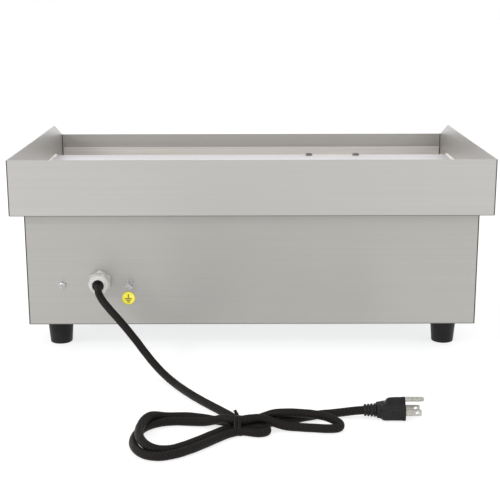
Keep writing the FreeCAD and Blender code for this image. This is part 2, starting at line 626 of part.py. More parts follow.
def control_knob():
    skirt = rod(KNOB_R, (KNOB_X, KNOB_BACK, KNOB_Z), (KNOB_X, KNOB_BACK - 8, KNOB_Z))
    skirt = round_edges(skirt, 1.6, lambda e: e.Closed and e.BoundBox.YMax < KNOB_BACK - 7.9)
    grip = box(KNOB_X - 6.5, KNOB_X + 6.5, FRONTMOST, KNOB_BACK - 7, KNOB_Z - 20, KNOB_Z + 20)
    grip = grip.common(rod(20.0, (KNOB_X, FRONTMOST, KNOB_Z), (KNOB_X, KNOB_BACK, KNOB_Z)))
    grip = round_edges(grip, 2.0, lambda e: e.BoundBox.YMax < FRONTMOST + 1e-4)
    hollow = rod(KNOB_R - 2.5, (KNOB_X, KNOB_BACK + 1, KNOB_Z), (KNOB_X, KNOB_BACK - 4, KNOB_Z))
    hub = rod(7.0, (KNOB_X, KNOB_HUB_BACK, KNOB_Z), (KNOB_X, KNOB_BACK - 6, KNOB_Z))
    bore = shaft_blank(SHAFT_R + FIT, KNOB_HUB_BACK + 1, SHAFT_TIP - 0.2, 1.5 + FIT)
    return skirt.cut(hollow).fuse([grip, hub]).removeSplitter().cut(bore)


def dial_plate():
    y0, y1 = CABINET_FRONT, CABINET_FRONT - 0.8
    disc = rod(33.0, (KNOB_X, y0, KNOB_Z), (KNOB_X, y1, KNOB_Z))
    holes = [rod(5.0, (KNOB_X, y0 + 1, KNOB_Z), (KNOB_X, y1 - 1, KNOB_Z))]
    holes += [rod(2.1, (KNOB_X, y0 + 1, z), (KNOB_X, y1 - 1, z)) for z in (KNOB_Z - 14, KNOB_Z + 14)]
    return cut_all(disc, holes)


def thermostat_screws():
    y = CABINET_FRONT - 0.8
    return group([pan_screw(1.95, 3.4, 1.9, (KNOB_X, y, z), (KNOB_X, THERMO_FRONT + 6, z))
                  for z in (KNOB_Z - 14, KNOB_Z + 14)])


def bulb_and_capillary():
    bulb = rod(2.5, (BULB_X0, BULB_Y, BULB_Z), (BULB_X1, BULB_Y, BULB_Z))
    x, r = BULB_X1 + 12, 0.8
    route = [V(BULB_X1, BULB_Y, BULB_Z), V(x, BULB_Y, BULB_Z - 1), V(x, BULB_Y, 130), V(x + 40, 10, 122),
             V(KNOB_X - 10, -70, 118), V(KNOB_X - 6, THERMO_BACK - 1, 112)]
    return group([bulb, swept_tube("capillary", route, r).cut(thermostat_body())])


def lamp_lens(x):
    face = CABINET_FRONT
    rim = rod(LAMP_R + 2.0, (x, face, LAMP_Z), (x, face - 1.5, LAMP_Z))
    dome = rod(LAMP_R - 0.5, (x, face - 1.5, LAMP_Z), (x, face - 6.0, LAMP_Z))
    dome = round_edges(dome, 2.6, lambda e: e.Closed and e.BoundBox.YMax < face - 5.9)
    shank = rod(LAMP_R - 0.1, (x, face, LAMP_Z), (x, face + SHEET + 3, LAMP_Z))
    return rim.fuse([dome, shank]).removeSplitter()


def lamp_bodies():
    y = CABINET_FRONT + SHEET
    solids = []
    for x in LAMP_X:
        nut = tube(LAMP_R + 3, LAMP_R - 0.1, (x, y, LAMP_Z), (x, y + 3, LAMP_Z))
        barrel = rod(LAMP_R + 1, (x, y + 3, LAMP_Z), (x, y + 22, LAMP_Z))
        pins = [box(x + d - 1.4, x + d + 1.4, y + 22, y + 29, LAMP_Z - 0.4, LAMP_Z + 0.4) for d in (-3, 3)]
        solids.append(nut.fuse([barrel] + pins).removeSplitter())
    return group(solids)


def limit_cutout():
    top = SHIELD_BOTTOM
    flange = box(CUTOUT_X - 18, CUTOUT_X + 18, CUTOUT_Y - 9, CUTOUT_Y + 9, top - 1, top)
    can = rod(11.5, (CUTOUT_X, CUTOUT_Y, top - 12), (CUTOUT_X, CUTOUT_Y, top - 1))
    button = rod(2.5, (CUTOUT_X, CUTOUT_Y, top - 15), (CUTOUT_X, CUTOUT_Y, top - 12))
    tabs = [box(x - 0.4, x + 0.4, CUTOUT_Y - 3, CUTOUT_Y + 3, top - 18, top - 12)
            for x in (CUTOUT_X - 8, CUTOUT_X + 8)]
    return flange.fuse([can, button] + tabs).removeSplitter()


def terminal_block():
    block = box(BLOCK_X0, BLOCK_X1, BLOCK_Y0, BLOCK_Y1, BASE_TOP, BLOCK_TOP)
    block = round_edges(block, 1.5, upright)
    solids = [cut_all(block, [rod(3.2, (x, y, BLOCK_TOP - 8), (x, y, BLOCK_TOP + 1))
                              for x in POLES for y in (BLOCK_Y0 + 7, BLOCK_Y1 - 7)])]
    for x in POLES:
        for y in (BLOCK_Y0 + 7, BLOCK_Y1 - 7):
            solids.append(rod(3.0, (x, y, BLOCK_TOP - 8), (x, y, BLOCK_TOP - 1.5)))
    return group(solids)


def power_wires():
    """Brown and blue leads from the terminal block to the thermostat, cut-out and elements."""
    y0, y1 = BLOCK_Y0, BLOCK_Y1
    z = BLOCK_TOP - 10
    rear_out, rear_in, front_out, front_in = element_ends()
    low = SHIELD_BOTTOM - 22.0
    routes = [
        [(POLES[0], y0, z), (POLES[0] - 3, 70, z + 3), (CUTOUT_X + 12, 46, 100),
         (CUTOUT_X + 8, CUTOUT_Y, 126.8)],
        [(CUTOUT_X - 8, CUTOUT_Y, 126.8), (CUTOUT_X - 6, 20, 104), (KNOB_X - 22, -70, 98),
         (KNOB_X - 12, THERMO_BACK + 8, KNOB_Z + 4)],
        [(POLES[1], y0, z), (POLES[1] + 8, 60, 80), (front_in[0] - 8, front_in[1] + 22, 96),
         (front_in[0], front_in[1], low)],
        [(rear_out[0], rear_out[1], low), (rear_out[0] + 8, rear_out[1] - 20, 96),
         (front_out[0] + 8, front_out[1] + 20, 98), (front_out[0], front_out[1], low)],
    ]
    ends = [terminal_block(), thermostat_body(), limit_cutout(),
            heating_element(REAR_ELEMENT_Y), heating_element(FRONT_ELEMENT_Y)]
    wires = [swept_tube("power wire", [V(*p) for p in route], WIRE_R) for route in routes]
    return group([cut_all(wire, ends) for wire in wires])


def earth_wire():
    route = [(POLES[2], BLOCK_Y0, BLOCK_TOP - 10), (POLES[2] + 14, 78, 62), (BLOCK_X1 + 14, 110, 68),
             (BLOCK_X1 + 4, 142, 76), (STUD_X + 30, 152, 66), (STUD_X + 3, 160, 76), (STUD_X, 162.4, STUD_Z)]
    wire = swept_tube("earth wire", [V(*p) for p in route], WIRE_R)
    return cut_all(wire, [terminal_block(), bonding_stud()])


# ---- grease drawer ----
def drawer_guide(side):
    """An upright strip with a shelf that the tray slides on and a tab that stops it at the back."""
    tray_side = DRAWER_X + side * TRAY_W / 2
    x0, x1 = tray_side + side * 1.0, tray_side + side * 2.5
    shelf_x = tray_side - side * 10
    shelf_top = TRAY_BOTTOM - SLIDE_GAP
    front, back = CABINET_FRONT + SHEET + 1.0, TRAY_BACK + 2.2

    def strip(a, b, y0, y1, z0, z1):
        return box(min(a, b), max(a, b), y0, y1, z0, z1)

    wall = strip(x0, x1, front, back, BASE_TOP, TRAY_BOTTOM + 22)
    shelf = strip(shelf_x, x1, front, back, shelf_top - 1.5, shelf_top)
    stop = strip(shelf_x, x1, back - 1.5, back, BASE_TOP, TRAY_BOTTOM + 22)
    return wall.fuse([shelf, stop]).removeSplitter()


def drawer_tray():
    x0, x1 = DRAWER_X - TRAY_W / 2, DRAWER_X + TRAY_W / 2
    outer = box(x0, x1, TRAY_FRONT, TRAY_BACK, TRAY_BOTTOM, TRAY_BOTTOM + TRAY_H)
    outer = round_edges(outer, BEND_R, lambda e: upright(e) and e.BoundBox.YMin > 0)
    inner = box(x0 + SHEET, x1 - SHEET, TRAY_FRONT + SHEET, TRAY_BACK - SHEET,
                TRAY_BOTTOM + SHEET, TRAY_BOTTOM + TRAY_H + 1)
    inner = round_edges(inner, BEND_R - SHEET, upright)
    return cut_all(outer.cut(inner), handle_holes())


def handle_holes():
    return [rod(2.1, (DRAWER_X + s * HANDLE_HALF, FASCIA_FRONT - 1, HANDLE_Z),
                (DRAWER_X + s * HANDLE_HALF, TRAY_FRONT + SHEET + 1, HANDLE_Z)) for s in (-1, 1)]


def drawer_front():
    x0, x1 = DRAWER_X - FASCIA_W / 2, DRAWER_X + FASCIA_W / 2
    z0, z1 = FASCIA_BOTTOM, FASCIA_BOTTOM + FASCIA_H
    outer = box(x0, x1, FASCIA_FRONT, FASCIA_BACK, z0, z1)
    outer = round_edges(outer, 0.9, lambda e: e.BoundBox.YMax < FASCIA_FRONT + 1e-4)
    inner = box(x0 + SHEET, x1 - SHEET, TRAY_FRONT, FASCIA_BACK + 1, z0 + SHEET, z1 - SHEET)
    return cut_all(outer.cut(inner), handle_holes())


def drawer_handle():
    bar_y = FRONTMOST + HANDLE_R
    left, right = DRAWER_X - HANDLE_HALF, DRAWER_X + HANDLE_HALF
    r = 9.0
    k = r * (1 - math.sqrt(0.5))
    edges = [
        Part.LineSegment(V(left, FASCIA_FRONT, HANDLE_Z), V(left, bar_y + r, HANDLE_Z)).toShape(),
        Part.Arc(V(left, bar_y + r, HANDLE_Z), V(left + k, bar_y + k, HANDLE_Z),
                 V(left + r, bar_y, HANDLE_Z)).toShape(),
        Part.LineSegment(V(left + r, bar_y, HANDLE_Z), V(right - r, bar_y, HANDLE_Z)).toShape(),
        Part.Arc(V(right - r, bar_y, HANDLE_Z), V(right - k, bar_y + k, HANDLE_Z),
                 V(right, bar_y + r, HANDLE_Z)).toShape(),
        Part.LineSegment(V(right, bar_y + r, HANDLE_Z), V(right, FASCIA_FRONT, HANDLE_Z)).toShape(),
    ]
    circle = Part.Wire(Part.makeCircle(HANDLE_R, V(left, FASCIA_FRONT, HANDLE_Z), Y_AXIS))
    bar = Part.Wire(edges).makePipeShell([circle], True, False)
    taps = [rod(2.0, (x, FASCIA_FRONT + 1, HANDLE_Z), (x, FASCIA_FRONT - 7, HANDLE_Z)) for x in (left, right)]
    return cut_all(bar, taps)


def handle_screws():
    seat = TRAY_FRONT + SHEET
    return group([pan_screw(1.95, 3.6, 2.0, (x, seat, HANDLE_Z), (x, FASCIA_FRONT - 6.5, HANDLE_Z))
                  for x in (DRAWER_X - HANDLE_HALF, DRAWER_X + HANDLE_HALF)])


# ---- back panel fittings ----


def on_gland(y):
    return (GLAND_X, y, GLAND_Z)


def gland_body():
    flange = hexagon(24, on_gland(CABINET_BACK), on_gland(GLAND_FACE))
    inner = rod(10.0, on_gland(CABINET_BACK - 13), on_gland(CABINET_BACK))
    outer = rod(8.8, on_gland(GLAND_FACE), on_gland(GLAND_FACE + 7))
    bore = rod(6.0, on_gland(CABINET_BACK - 20), on_gland(GLAND_TIP))
    return flange.fuse([inner, outer]).removeSplitter().cut(bore)


def gland_nut():
    hex_part = hexagon(24, on_gland(GLAND_FACE), on_gland(GLAND_TIP - 5))
    dome = cone(12.0, 8.8, on_gland(GLAND_TIP - 5), on_gland(GLAND_TIP))
    thread = rod(8.9, on_gland(GLAND_FACE - 1), on_gland(GLAND_TIP - 5))
    mouth = rod(7.0, on_gland(GLAND_FACE), on_gland(GLAND_TIP + 1))
    return hex_part.fuse(dome).cut(thread).cut(mouth)


def gland_seal():
    wide = rod(8.6, on_gland(GLAND_FACE + 7.1), on_gland(GLAND_TIP - 5.1))
    nose = rod(6.8, on_gland(GLAND_TIP - 5.1), on_gland(GLAND_TIP - 3))
    bore = rod(CORD_R + FIT, on_gland(GLAND_FACE), on_gland(GLAND_TIP))
    return wide.fuse(nose).removeSplitter().cut(bore)


def gland_locknut():
    y = CABINET_BACK - SHEET
    return hexagon(27, on_gland(y - 5), on_gland(y)).cut(rod(10.0, on_gland(y - 6), on_gland(y + 1)))


def bonding_stud():
    """The equipotential bonding stud with its washer, nut and inner lock nut."""
    y = CABINET_BACK
    stud = rod(2.5, (STUD_X, y - 9, STUD_Z), (STUD_X, y + 8, STUD_Z))
    washer = tube(5.8, 2.55, (STUD_X, y, STUD_Z), (STUD_X, y + 1, STUD_Z))
    nut = hexagon(8, (STUD_X, y + 1, STUD_Z), (STUD_X, y + 5, STUD_Z), 12).cut(
        rod(2.55, (STUD_X, y, STUD_Z), (STUD_X, y + 6, STUD_Z)))
    inner = hexagon(8, (STUD_X, y - 5.2, STUD_Z), (STUD_X, y - SHEET, STUD_Z)).cut(
        rod(2.55, (STUD_X, y - 6, STUD_Z), (STUD_X, y, STUD_Z)))
    return group([stud, washer, nut, inner])


def bonding_disc():
    return rod(8.0, (DISC_X, CABINET_BACK, DISC_Z), (DISC_X, CABINET_BACK + 0.5, DISC_Z))


def back_screw():
    y = CABINET_BACK
    x, z = BACK_SCREW_X, BACK_SCREW_Z
    washer = tube(4.6, 2.05, (x, y, z), (x, y + 0.8, z))
    screw = pan_screw(2.0, 3.8, 2.2, (x, y + 0.8, z), (x, y - 10, z))
    nut = hexagon(7, (x, y - 4.4, z), (x, y - SHEET, z)).cut(rod(2.05, (x, y - 6, z), (x, y, z)))
    return group([washer, screw, nut])


# ---- mains lead and plug ----
def cord_inner():
    """The end of the lead inside the cabinet, up to the terminal block."""
    points = [V(*on_gland(GLAND_TIP)), V(*on_gland(150)), V(BLOCK_X0 + 30, BLOCK_Y1 + 7, 66)]
    return swept_tube("cord inside", points, CORD_R)


def cord_lead():
    """The hanging stretch, cut square where it leaves the gland."""
    hanging = swept_tube("cord_lead", [at_back(*p) for p in LEAD_ROUTE], CORD_R)
    inside = box(GLAND_X - 20, GLAND_X + 20, GLAND_TIP - 20, GLAND_TIP, GLAND_Z - 20, GLAND_Z + 20)
    return hanging.cut(inside)


def cord_tail():
    """The stretch from the hank to the plug, cut square at the strain relief."""
    stretch = swept_tube("cord_tail", [at_back(*p) for p in TAIL_ROUTE], CORD_R)
    return stretch.cut(box(RELIEF_X - 20, RELIEF_X, PLUG_Y - 20, PLUG_Y + 20, 0, 30))


def cord_hank():
    corners = [(x, HOOD_BACK + behind, r) for x, behind, r in HANK_OUTLINE]
    hank = rounded_outline(corners, 0.1).extrude(V(0, 0, HANK_HEIGHT))
    lead = [at_back(*p) for p in LEAD_ROUTE]
    tail = [at_back(*p) for p in TAIL_ROUTE]
    hank = hank.cut(dock(lead[-1], lead[-2] - lead[-1]))
    hank = hank.cut(dock(tail[0], tail[1] - tail[0]))
    waist = box(TIE_X - TIE_HALF, TIE_X + TIE_HALF, HOOD_BACK + 190.0, HOOD_BACK + 250.0,
                -1, HANK_HEIGHT + 5)
    room = cord_tie().BoundBox
    hole = box(TIE_X - TIE_HALF, TIE_X + TIE_HALF, room.YMin + TIE_THICK, room.YMax - TIE_THICK,
               TIE_THICK, HANK_HEIGHT + 0.2)
    hole = round_edges(hole, 2.8, lambda e: e.BoundBox.XLength > 6)
    return hank.cut(waist.cut(hole))


def cord_tie():
    """A flat band round the waist of the hank."""
    near, far = HOOD_BACK + 201.0, HOOD_BACK + 235.0
    outer = box(TIE_X - TIE_HALF, TIE_X + TIE_HALF, near, far, 0.0, HANK_HEIGHT + 0.2 + TIE_THICK)
    outer = round_edges(outer, 4.0, lambda e: e.BoundBox.XLength > 6)
    inner = box(TIE_X - 9, TIE_X + 9, near + TIE_THICK, far - TIE_THICK, TIE_THICK, HANK_HEIGHT + 0.2)
    return outer.cut(round_edges(inner, 2.8, lambda e: e.BoundBox.XLength > 6))


def plug_body():
    z0 = 0.1
    core = box(PLUG_FACE_X, PLUG_BACK_X - 4, PLUG_Y - PLUG_HALF_W, PLUG_Y + PLUG_HALF_W, z0, 15.6)
    core = round_edges(core, 3.0, lambda e: e.BoundBox.XLength > 20)
    neck = box(PLUG_BACK_X - 5, PLUG_BACK_X, PLUG_Y - 8, PLUG_Y + 8, z0 + 1.5, 14.6)
    hump = rod(5.4, (PLUG_FACE_X, PLUG_Y, GROUND_Z - 0.5), (PLUG_BACK_X - 9, PLUG_Y, GROUND_Z - 0.5))
    web = box(PLUG_FACE_X, PLUG_BACK_X - 9, PLUG_Y - 5.4, PLUG_Y + 5.4, 12, GROUND_Z - 0.5)
    rim_half = PLUG_HALF_W + 0.8
    rim = box(PLUG_FACE_X, PLUG_FACE_X + 3, PLUG_Y - rim_half, PLUG_Y + rim_half, z0, 16.2)
    rim = round_edges(rim, 2.5, lambda e: e.BoundBox.XLength > 2 and e.BoundBox.YLength < 1e-4)
    return core.fuse([neck, hump, web, rim]).removeSplitter()


def plug_relief():
    """Ribbed sleeve between the lead and the plug."""
    length = RELIEF_X - PLUG_BACK_X
    sleeve = cone(6.6, 5.4, (PLUG_BACK_X, PLUG_Y, PLUG_CORD_Z), (RELIEF_X, PLUG_Y, PLUG_CORD_Z))
    grooves = []
    for k in range(3):
        x = PLUG_BACK_X + length * (0.22 + 0.27 * k)
        grooves.append(tube(9.0, 4.9, (x, PLUG_Y, PLUG_CORD_Z), (x + 1.5, PLUG_Y, PLUG_CORD_Z)))
    return cut_all(sleeve, grooves)


def plug_prongs():
    z = PLUG_CORD_Z - 0.6
    tip = PLUG_FACE_X - 16.0
    solids = []
    for side in (-1, 1):
        y = PLUG_Y + side * 6.35
        blade = box(tip, PLUG_FACE_X, y - 0.75, y + 0.75, z - 3.2, z + 3.2)
        blade = round_edges(blade, 1.4, lambda e: e.BoundBox.XMax < tip + 1e-4 and e.BoundBox.YLength > 1)
        hole = rod(1.6, (tip + 4.2, y - 2, z), (tip + 4.2, y + 2, z))
        solids.append(blade.cut(hole))
    pin = rod(2.4, (PLUG_FACE_X, PLUG_Y, GROUND_Z), (tip - 3.1, PLUG_Y, GROUND_Z))
    pin = round_edges(pin, 2.0, lambda e: e.Closed and e.BoundBox.XMax < tip - 3)
    solids.append(pin)
    return group(solids)


def main():
    os.makedirs("parts", exist_ok=True)
    nodes = {
        "hood": hood(), "griddle_plate": griddle_plate(), "plate_seal": plate_seal(),
        "plate_support_frame": plate_support_frame(), "grease_trough": grease_trough(),
        "drain_spout": drain_spout(), "grease_chute": grease_chute(), "chute_screws": chute_screws(),
        "cabinet_wrap": cabinet_wrap(), "base_panel": base_panel(), "base_screws": base_screws(),
        "front_panel": front_panel(), "front_panel_screws": front_panel_screws(),
        "hood_screws": hood_screws(), "foot_screws": foot_screws(),
        "heating_element_rear": heating_element(REAR_ELEMENT_Y),
        "heating_element_front": heating_element(FRONT_ELEMENT_Y),
        "element_clamps": element_clamps(), "clamp_studs": clamp_studs(),
        "insulation_blanket": insulation_blanket(), "heat_shield": heat_shield(),
        "thermostat_body": thermostat_body(), "thermostat_shaft": thermostat_shaft(),
        "thermostat_screws": thermostat_screws(), "bulb_and_capillary": bulb_and_capillary(),
        "control_knob": control_knob(), "dial_plate": dial_plate(),
        "power_lamp_lens": lamp_lens(LAMP_X[0]), "heating_lamp_lens": lamp_lens(LAMP_X[1]),
        "lamp_bodies": lamp_bodies(), "limit_cutout": limit_cutout(),
        "terminal_block": terminal_block(), "power_wires": power_wires(), "earth_wire": earth_wire(),
        "drawer_guide_left": drawer_guide(-1), "drawer_guide_right": drawer_guide(1),
        "drawer_tray": drawer_tray(), "drawer_front": drawer_front(), "drawer_handle": drawer_handle(),
        "handle_screws": handle_screws(), "gland_body": gland_body(), "gland_nut": gland_nut(),
        "gland_seal": gland_seal(), "gland_locknut": gland_locknut(), "bonding_stud": bonding_stud(),
        "bonding_disc": bonding_disc(), "back_screw": back_screw(), "cord_inner": cord_inner(),
        "cord_lead": cord_lead(), "cord_hank": cord_hank(), "cord_tail": cord_tail(),
        "cord_tie": cord_tie(),
        "plug_body": plug_body(), "plug_relief": plug_relief(), "plug_prongs": plug_prongs(),
    }
    for end, side, x, y in FEET:
        nodes["foot_%s_%s" % (end, side)] = rubber_foot(x, y)
    for name, shape in nodes.items():
        save(name, shape)


main()
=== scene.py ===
import math

import bmesh
import bpy
from mathutils import Matrix, Vector


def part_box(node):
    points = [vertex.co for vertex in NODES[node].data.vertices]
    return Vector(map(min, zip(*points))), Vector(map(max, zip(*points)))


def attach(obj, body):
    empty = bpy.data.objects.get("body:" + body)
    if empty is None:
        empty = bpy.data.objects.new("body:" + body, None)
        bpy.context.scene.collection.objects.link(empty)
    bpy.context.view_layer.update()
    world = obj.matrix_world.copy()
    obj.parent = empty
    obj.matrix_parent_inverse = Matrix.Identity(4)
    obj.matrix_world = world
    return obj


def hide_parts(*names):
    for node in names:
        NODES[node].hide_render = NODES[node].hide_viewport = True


# Looks of a countertop electric flat top griddle, in metres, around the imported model.
# The controls face -Y; the mains lead leaves the back, which faces +Y.

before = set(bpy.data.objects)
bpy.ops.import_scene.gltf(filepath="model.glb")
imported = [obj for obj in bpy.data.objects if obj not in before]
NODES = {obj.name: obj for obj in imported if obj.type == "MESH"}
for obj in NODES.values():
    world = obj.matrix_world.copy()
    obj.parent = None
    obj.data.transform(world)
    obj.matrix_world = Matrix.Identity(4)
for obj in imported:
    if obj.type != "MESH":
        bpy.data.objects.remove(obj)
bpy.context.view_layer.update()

HOOD_LOW, HOOD_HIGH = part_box("hood")
PLATE_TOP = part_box("griddle_plate")[1].z
KNOB_LOW, KNOB_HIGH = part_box("control_knob")
CABINET_LOW, CABINET_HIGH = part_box("cabinet_wrap")
HOOD_BACK = HOOD_HIGH.y


# ---- camera ----
CAMERA_DISTANCE = 1.2031        # behind the hood's back face
CAMERA_HEIGHT = 0.4186
CAMERA_TILT = 76.363            # degrees from straight down
CAMERA_ROLL = -0.123
CAMERA_SIDE = 0.0021
LENS_MM = 78.34


def make_camera():
    data = bpy.data.cameras.new("camera")
    data.lens = LENS_MM
    data.sensor_width = 36.0
    data.clip_end = 50.0
    camera = bpy.data.objects.new("camera", data)
    bpy.context.scene.collection.objects.link(camera)
    camera.location = (CAMERA_SIDE, HOOD_BACK + CAMERA_DISTANCE, CAMERA_HEIGHT)
    camera.rotation_euler = (math.radians(CAMERA_TILT), 0, math.pi)
    camera.rotation_euler.rotate_axis("Z", math.radians(CAMERA_ROLL))
    bpy.context.scene.camera = camera


# ---- small mesh tools ----
def link(obj):
    bpy.context.scene.collection.objects.link(obj)
    return obj


def mesh_piece(name, vertices, faces):
    mesh = bpy.data.meshes.new(name)
    mesh.from_pydata([tuple(v) for v in vertices], [], faces)
    mesh.update()
    for polygon in mesh.polygons:
        polygon.use_smooth = True
    return link(bpy.data.objects.new(name, mesh))


def outward(obj):
    """Turns the faces of a closed mesh outwards, after merging its doubles."""
    shape = bmesh.new()
    shape.from_mesh(obj.data)
    bmesh.ops.remove_doubles(shape, verts=shape.verts, dist=1e-6)
    bmesh.ops.recalc_face_normals(shape, faces=shape.faces)
    shape.to_mesh(obj.data)
    shape.free()
    return obj


def plain_mesh(obj, name):
    """The evaluated shape of obj as a plain mesh object of that name; obj is removed."""
    graph = bpy.context.evaluated_depsgraph_get()
    mesh = bpy.data.meshes.new_from_object(obj.evaluated_get(graph))
    made = link(bpy.data.objects.new(name, mesh))
    mesh.name = name
    bpy.data.objects.remove(obj)
    return made


def shade_by_angle(obj, degrees=35.0):
    """Smooth faces with sharp edges kept where the surface turns by more than this angle."""
    shape = bmesh.new()
    shape.from_mesh(obj.data)
    for face in shape.faces:
        face.smooth = True
    limit = math.radians(degrees)
    for edge in shape.edges:
        edge.smooth = len(edge.link_faces) == 2 and edge.calc_face_angle() < limit
    shape.to_mesh(obj.data)
    shape.free()
    return obj


def joined(name, objects):
    """Several mesh objects as one."""
    with bpy.context.temp_override(active_object=objects[0], selected_editable_objects=objects,
                                   selected_objects=objects):
        bpy.ops.object.join()
    objects[0].name = name
    objects[0].data.name = name
    return objects[0]


def basis(origin, x_axis, y_axis):
    """A turn and place that takes local X and Y to these directions."""
    x_axis, y_axis = Vector(x_axis).normalized(), Vector(y_axis).normalized()
    turn = Matrix((x_axis, y_axis, x_axis.cross(y_axis))).transposed()
    return Matrix.Translation(Vector(origin)) @ turn.to_4x4()


def ring_walls(rows, size, closed=False):
    """The quads between neighbouring rows of points, where each row is a ring of this size."""
    faces = []
    for row in range(rows if closed else rows - 1):
        after = (row + 1) % rows
        for j in range(size):
            beside = (j + 1) % size
            faces.append((row * size + j, row * size + beside, after * size + beside, after * size + j))
    return faces


def revolved(name, profile, segments=72, reach=None, closed_profile=False):
    """(radius, height) points turned round local Z; reach(angle, radius, height) may reshape the turn."""
    vertices = []
    for radius, height in profile:
        for k in range(segments):
            angle = 2 * math.pi * k / segments
            r = reach(angle, radius, height) if reach else radius
            vertices.append((r * math.cos(angle), r * math.sin(angle), height))
    return mesh_piece(name, vertices, ring_walls(len(profile), segments, closed_profile))


def bevelled_bar(name, size, bevel, segments=3):
    """A bar centred on the origin with rounded edges."""
    shape = bmesh.new()
    bmesh.ops.create_cube(shape, size=1.0)
    bmesh.ops.scale(shape, vec=Vector(size), verts=shape.verts)
    bmesh.ops.bevel(shape, geom=list(shape.edges), offset=bevel, segments=segments, affect="EDGES",
                    profile=0.5)
    mesh = bpy.data.meshes.new(name)
    shape.to_mesh(mesh)
    shape.free()
    return shade_by_angle(link(bpy.data.objects.new(name, mesh)), 50)


def frames_along(points):
    """A side and an upward direction at each point of a line, turning as little as possible."""
    tangents = []
    for k in range(len(points)):
        ahead, behind = points[min(k + 1, len(points) - 1)], points[max(k - 1, 0)]
        tangents.append((ahead - behind).normalized())
    side = tangents[0].cross(Vector((0, 0, 1)))
    side = side.normalized() if side.length > 1e-6 else Vector((1, 0, 0))
    sides = [side]
    for before, here in zip(tangents, tangents[1:]):
        side = before.rotation_difference(here) @ sides[-1]
        sides.append((side - here * side.dot(here)).normalized())
    return [(s, t.cross(s)) for s, t in zip(sides, tangents)]


def swept(name, points, section):
    """A capped tube along points; section(distance) gives the outline's (side, up) offsets."""
    vertices, run = [], 0.0
    for k, (point, (side, up)) in enumerate(zip(points, frames_along(points))):
        if k:
            run += (point - points[k - 1]).length
        outline = section(run)
        vertices += [point + side * a + up * b for a, b in outline]
    size = len(outline)
    last = (len(points) - 1) * size
    faces = ring_walls(len(points), size)
    faces += [tuple(reversed(range(size))), tuple(range(last, last + size))]
    return mesh_piece(name, vertices, faces)


# ---- geometry node trees ----
class Graph:
    """Adds nodes to one tree and links them."""

    def __init__(self, tree):
        self.tree = tree

    def node(self, kind, inputs=None, **settings):
        made = self.tree.nodes.new(kind)
        for key, value in settings.items():
            setattr(made, key, value)
        for key, value in (inputs or {}).items():
            if isinstance(value, bpy.types.NodeSocket):
                self.tree.links.new(value, made.inputs[key])
            else:
                made.inputs[key].default_value = value
        return made

    def math(self, operation, *values):
        made = self.node("ShaderNodeMath", operation=operation)
        for socket, value in zip(made.inputs, values):
            if isinstance(value, bpy.types.NodeSocket):
                self.tree.links.new(value, socket)
            else:
                socket.default_value = value
        return made.outputs[0]

    def between(self, value, low, high, out_low=0.0, out_high=1.0):
        made = self.node("ShaderNodeMapRange", {"Value": value, "From Min": low, "From Max": high,
                                                "To Min": out_low, "To Max": out_high})
        return made.outputs["Result"]

    def mix(self, factor, first, second):
        made = self.node("ShaderNodeMix", data_type="RGBA")
        for socket, value in zip((made.inputs[0], made.inputs[6], made.inputs[7]), (factor, first, second)):
            if isinstance(value, bpy.types.NodeSocket):
                self.tree.links.new(value, socket)
            else:
                socket.default_value = value
        return made.outputs[2]

    def tinted(self, base, mask, share, tint):
        """The base colour with some of a tint where the mask is strong."""
        return self.mix(self.math("MULTIPLY", mask, share), base, colour(*tint))

    def sized(self, place, size):
        """Coordinates for a pattern whose features are about this size."""
        made = self.node("ShaderNodeVectorMath", {0: place, "Scale": self.math("DIVIDE", 1.0, size)},
                         operation="SCALE")
        return made.outputs[0]


def geometry_tree(name, inputs):
    """An empty geometry node tree with a geometry input, these named inputs and a geometry output."""
    tree = bpy.data.node_groups.new(name, "GeometryNodeTree")
    tree.interface.new_socket("Geometry", in_out="INPUT", socket_type="NodeSocketGeometry")
    for label, kind, default in inputs:
        socket = tree.interface.new_socket(label, in_out="INPUT", socket_type="NodeSocket" + kind)
        if default is not None:
            socket.default_value = default
    tree.interface.new_socket("Geometry", in_out="OUTPUT", socket_type="NodeSocketGeometry")
    graph = Graph(tree)
    return tree, graph, graph.node("NodeGroupInput").outputs


def finish_tree(graph, geometry, finish):
    """Ends a tree in Realize Instances and Set Material."""
    real = graph.node("GeometryNodeRealizeInstances", {"Geometry": geometry})
    painted = graph.node("GeometryNodeSetMaterial", {"Geometry": real.outputs[0], "Material": finish})
    graph.node("NodeGroupOutput", {"Geometry": painted.outputs[0]})


def ring_of_copies_tree():
    """Copies of the incoming shape, moved out along local X and spread round local Z."""
    tree, graph, given = geometry_tree("ring_of_copies", [
        ("Count", "Int", 12), ("Radius", "Float", 0.01), ("Start", "Float", 0.0), ("Step", "Float", 0.5),
        ("Finish", "Material", None),
    ])
    moved = graph.node("ShaderNodeCombineXYZ", {"X": given["Radius"]})
    seed = graph.node("GeometryNodeTransform", {
        "Geometry": given["Geometry"], "Translation": moved.outputs[0]})
    points = graph.node("GeometryNodePoints", {"Count": given["Count"]})
    place = graph.node("GeometryNodeInputIndex")
    angle = graph.math("MULTIPLY_ADD", place.outputs[0], given["Step"], given["Start"])
    turn = graph.node("ShaderNodeCombineXYZ", {"Z": angle})
    copies = graph.node("GeometryNodeInstanceOnPoints", {
        "Points": points.outputs[0], "Instance": seed.outputs[0], "Rotation": turn.outputs[0]})
    finish_tree(graph, copies.outputs[0], given["Finish"])
    return tree


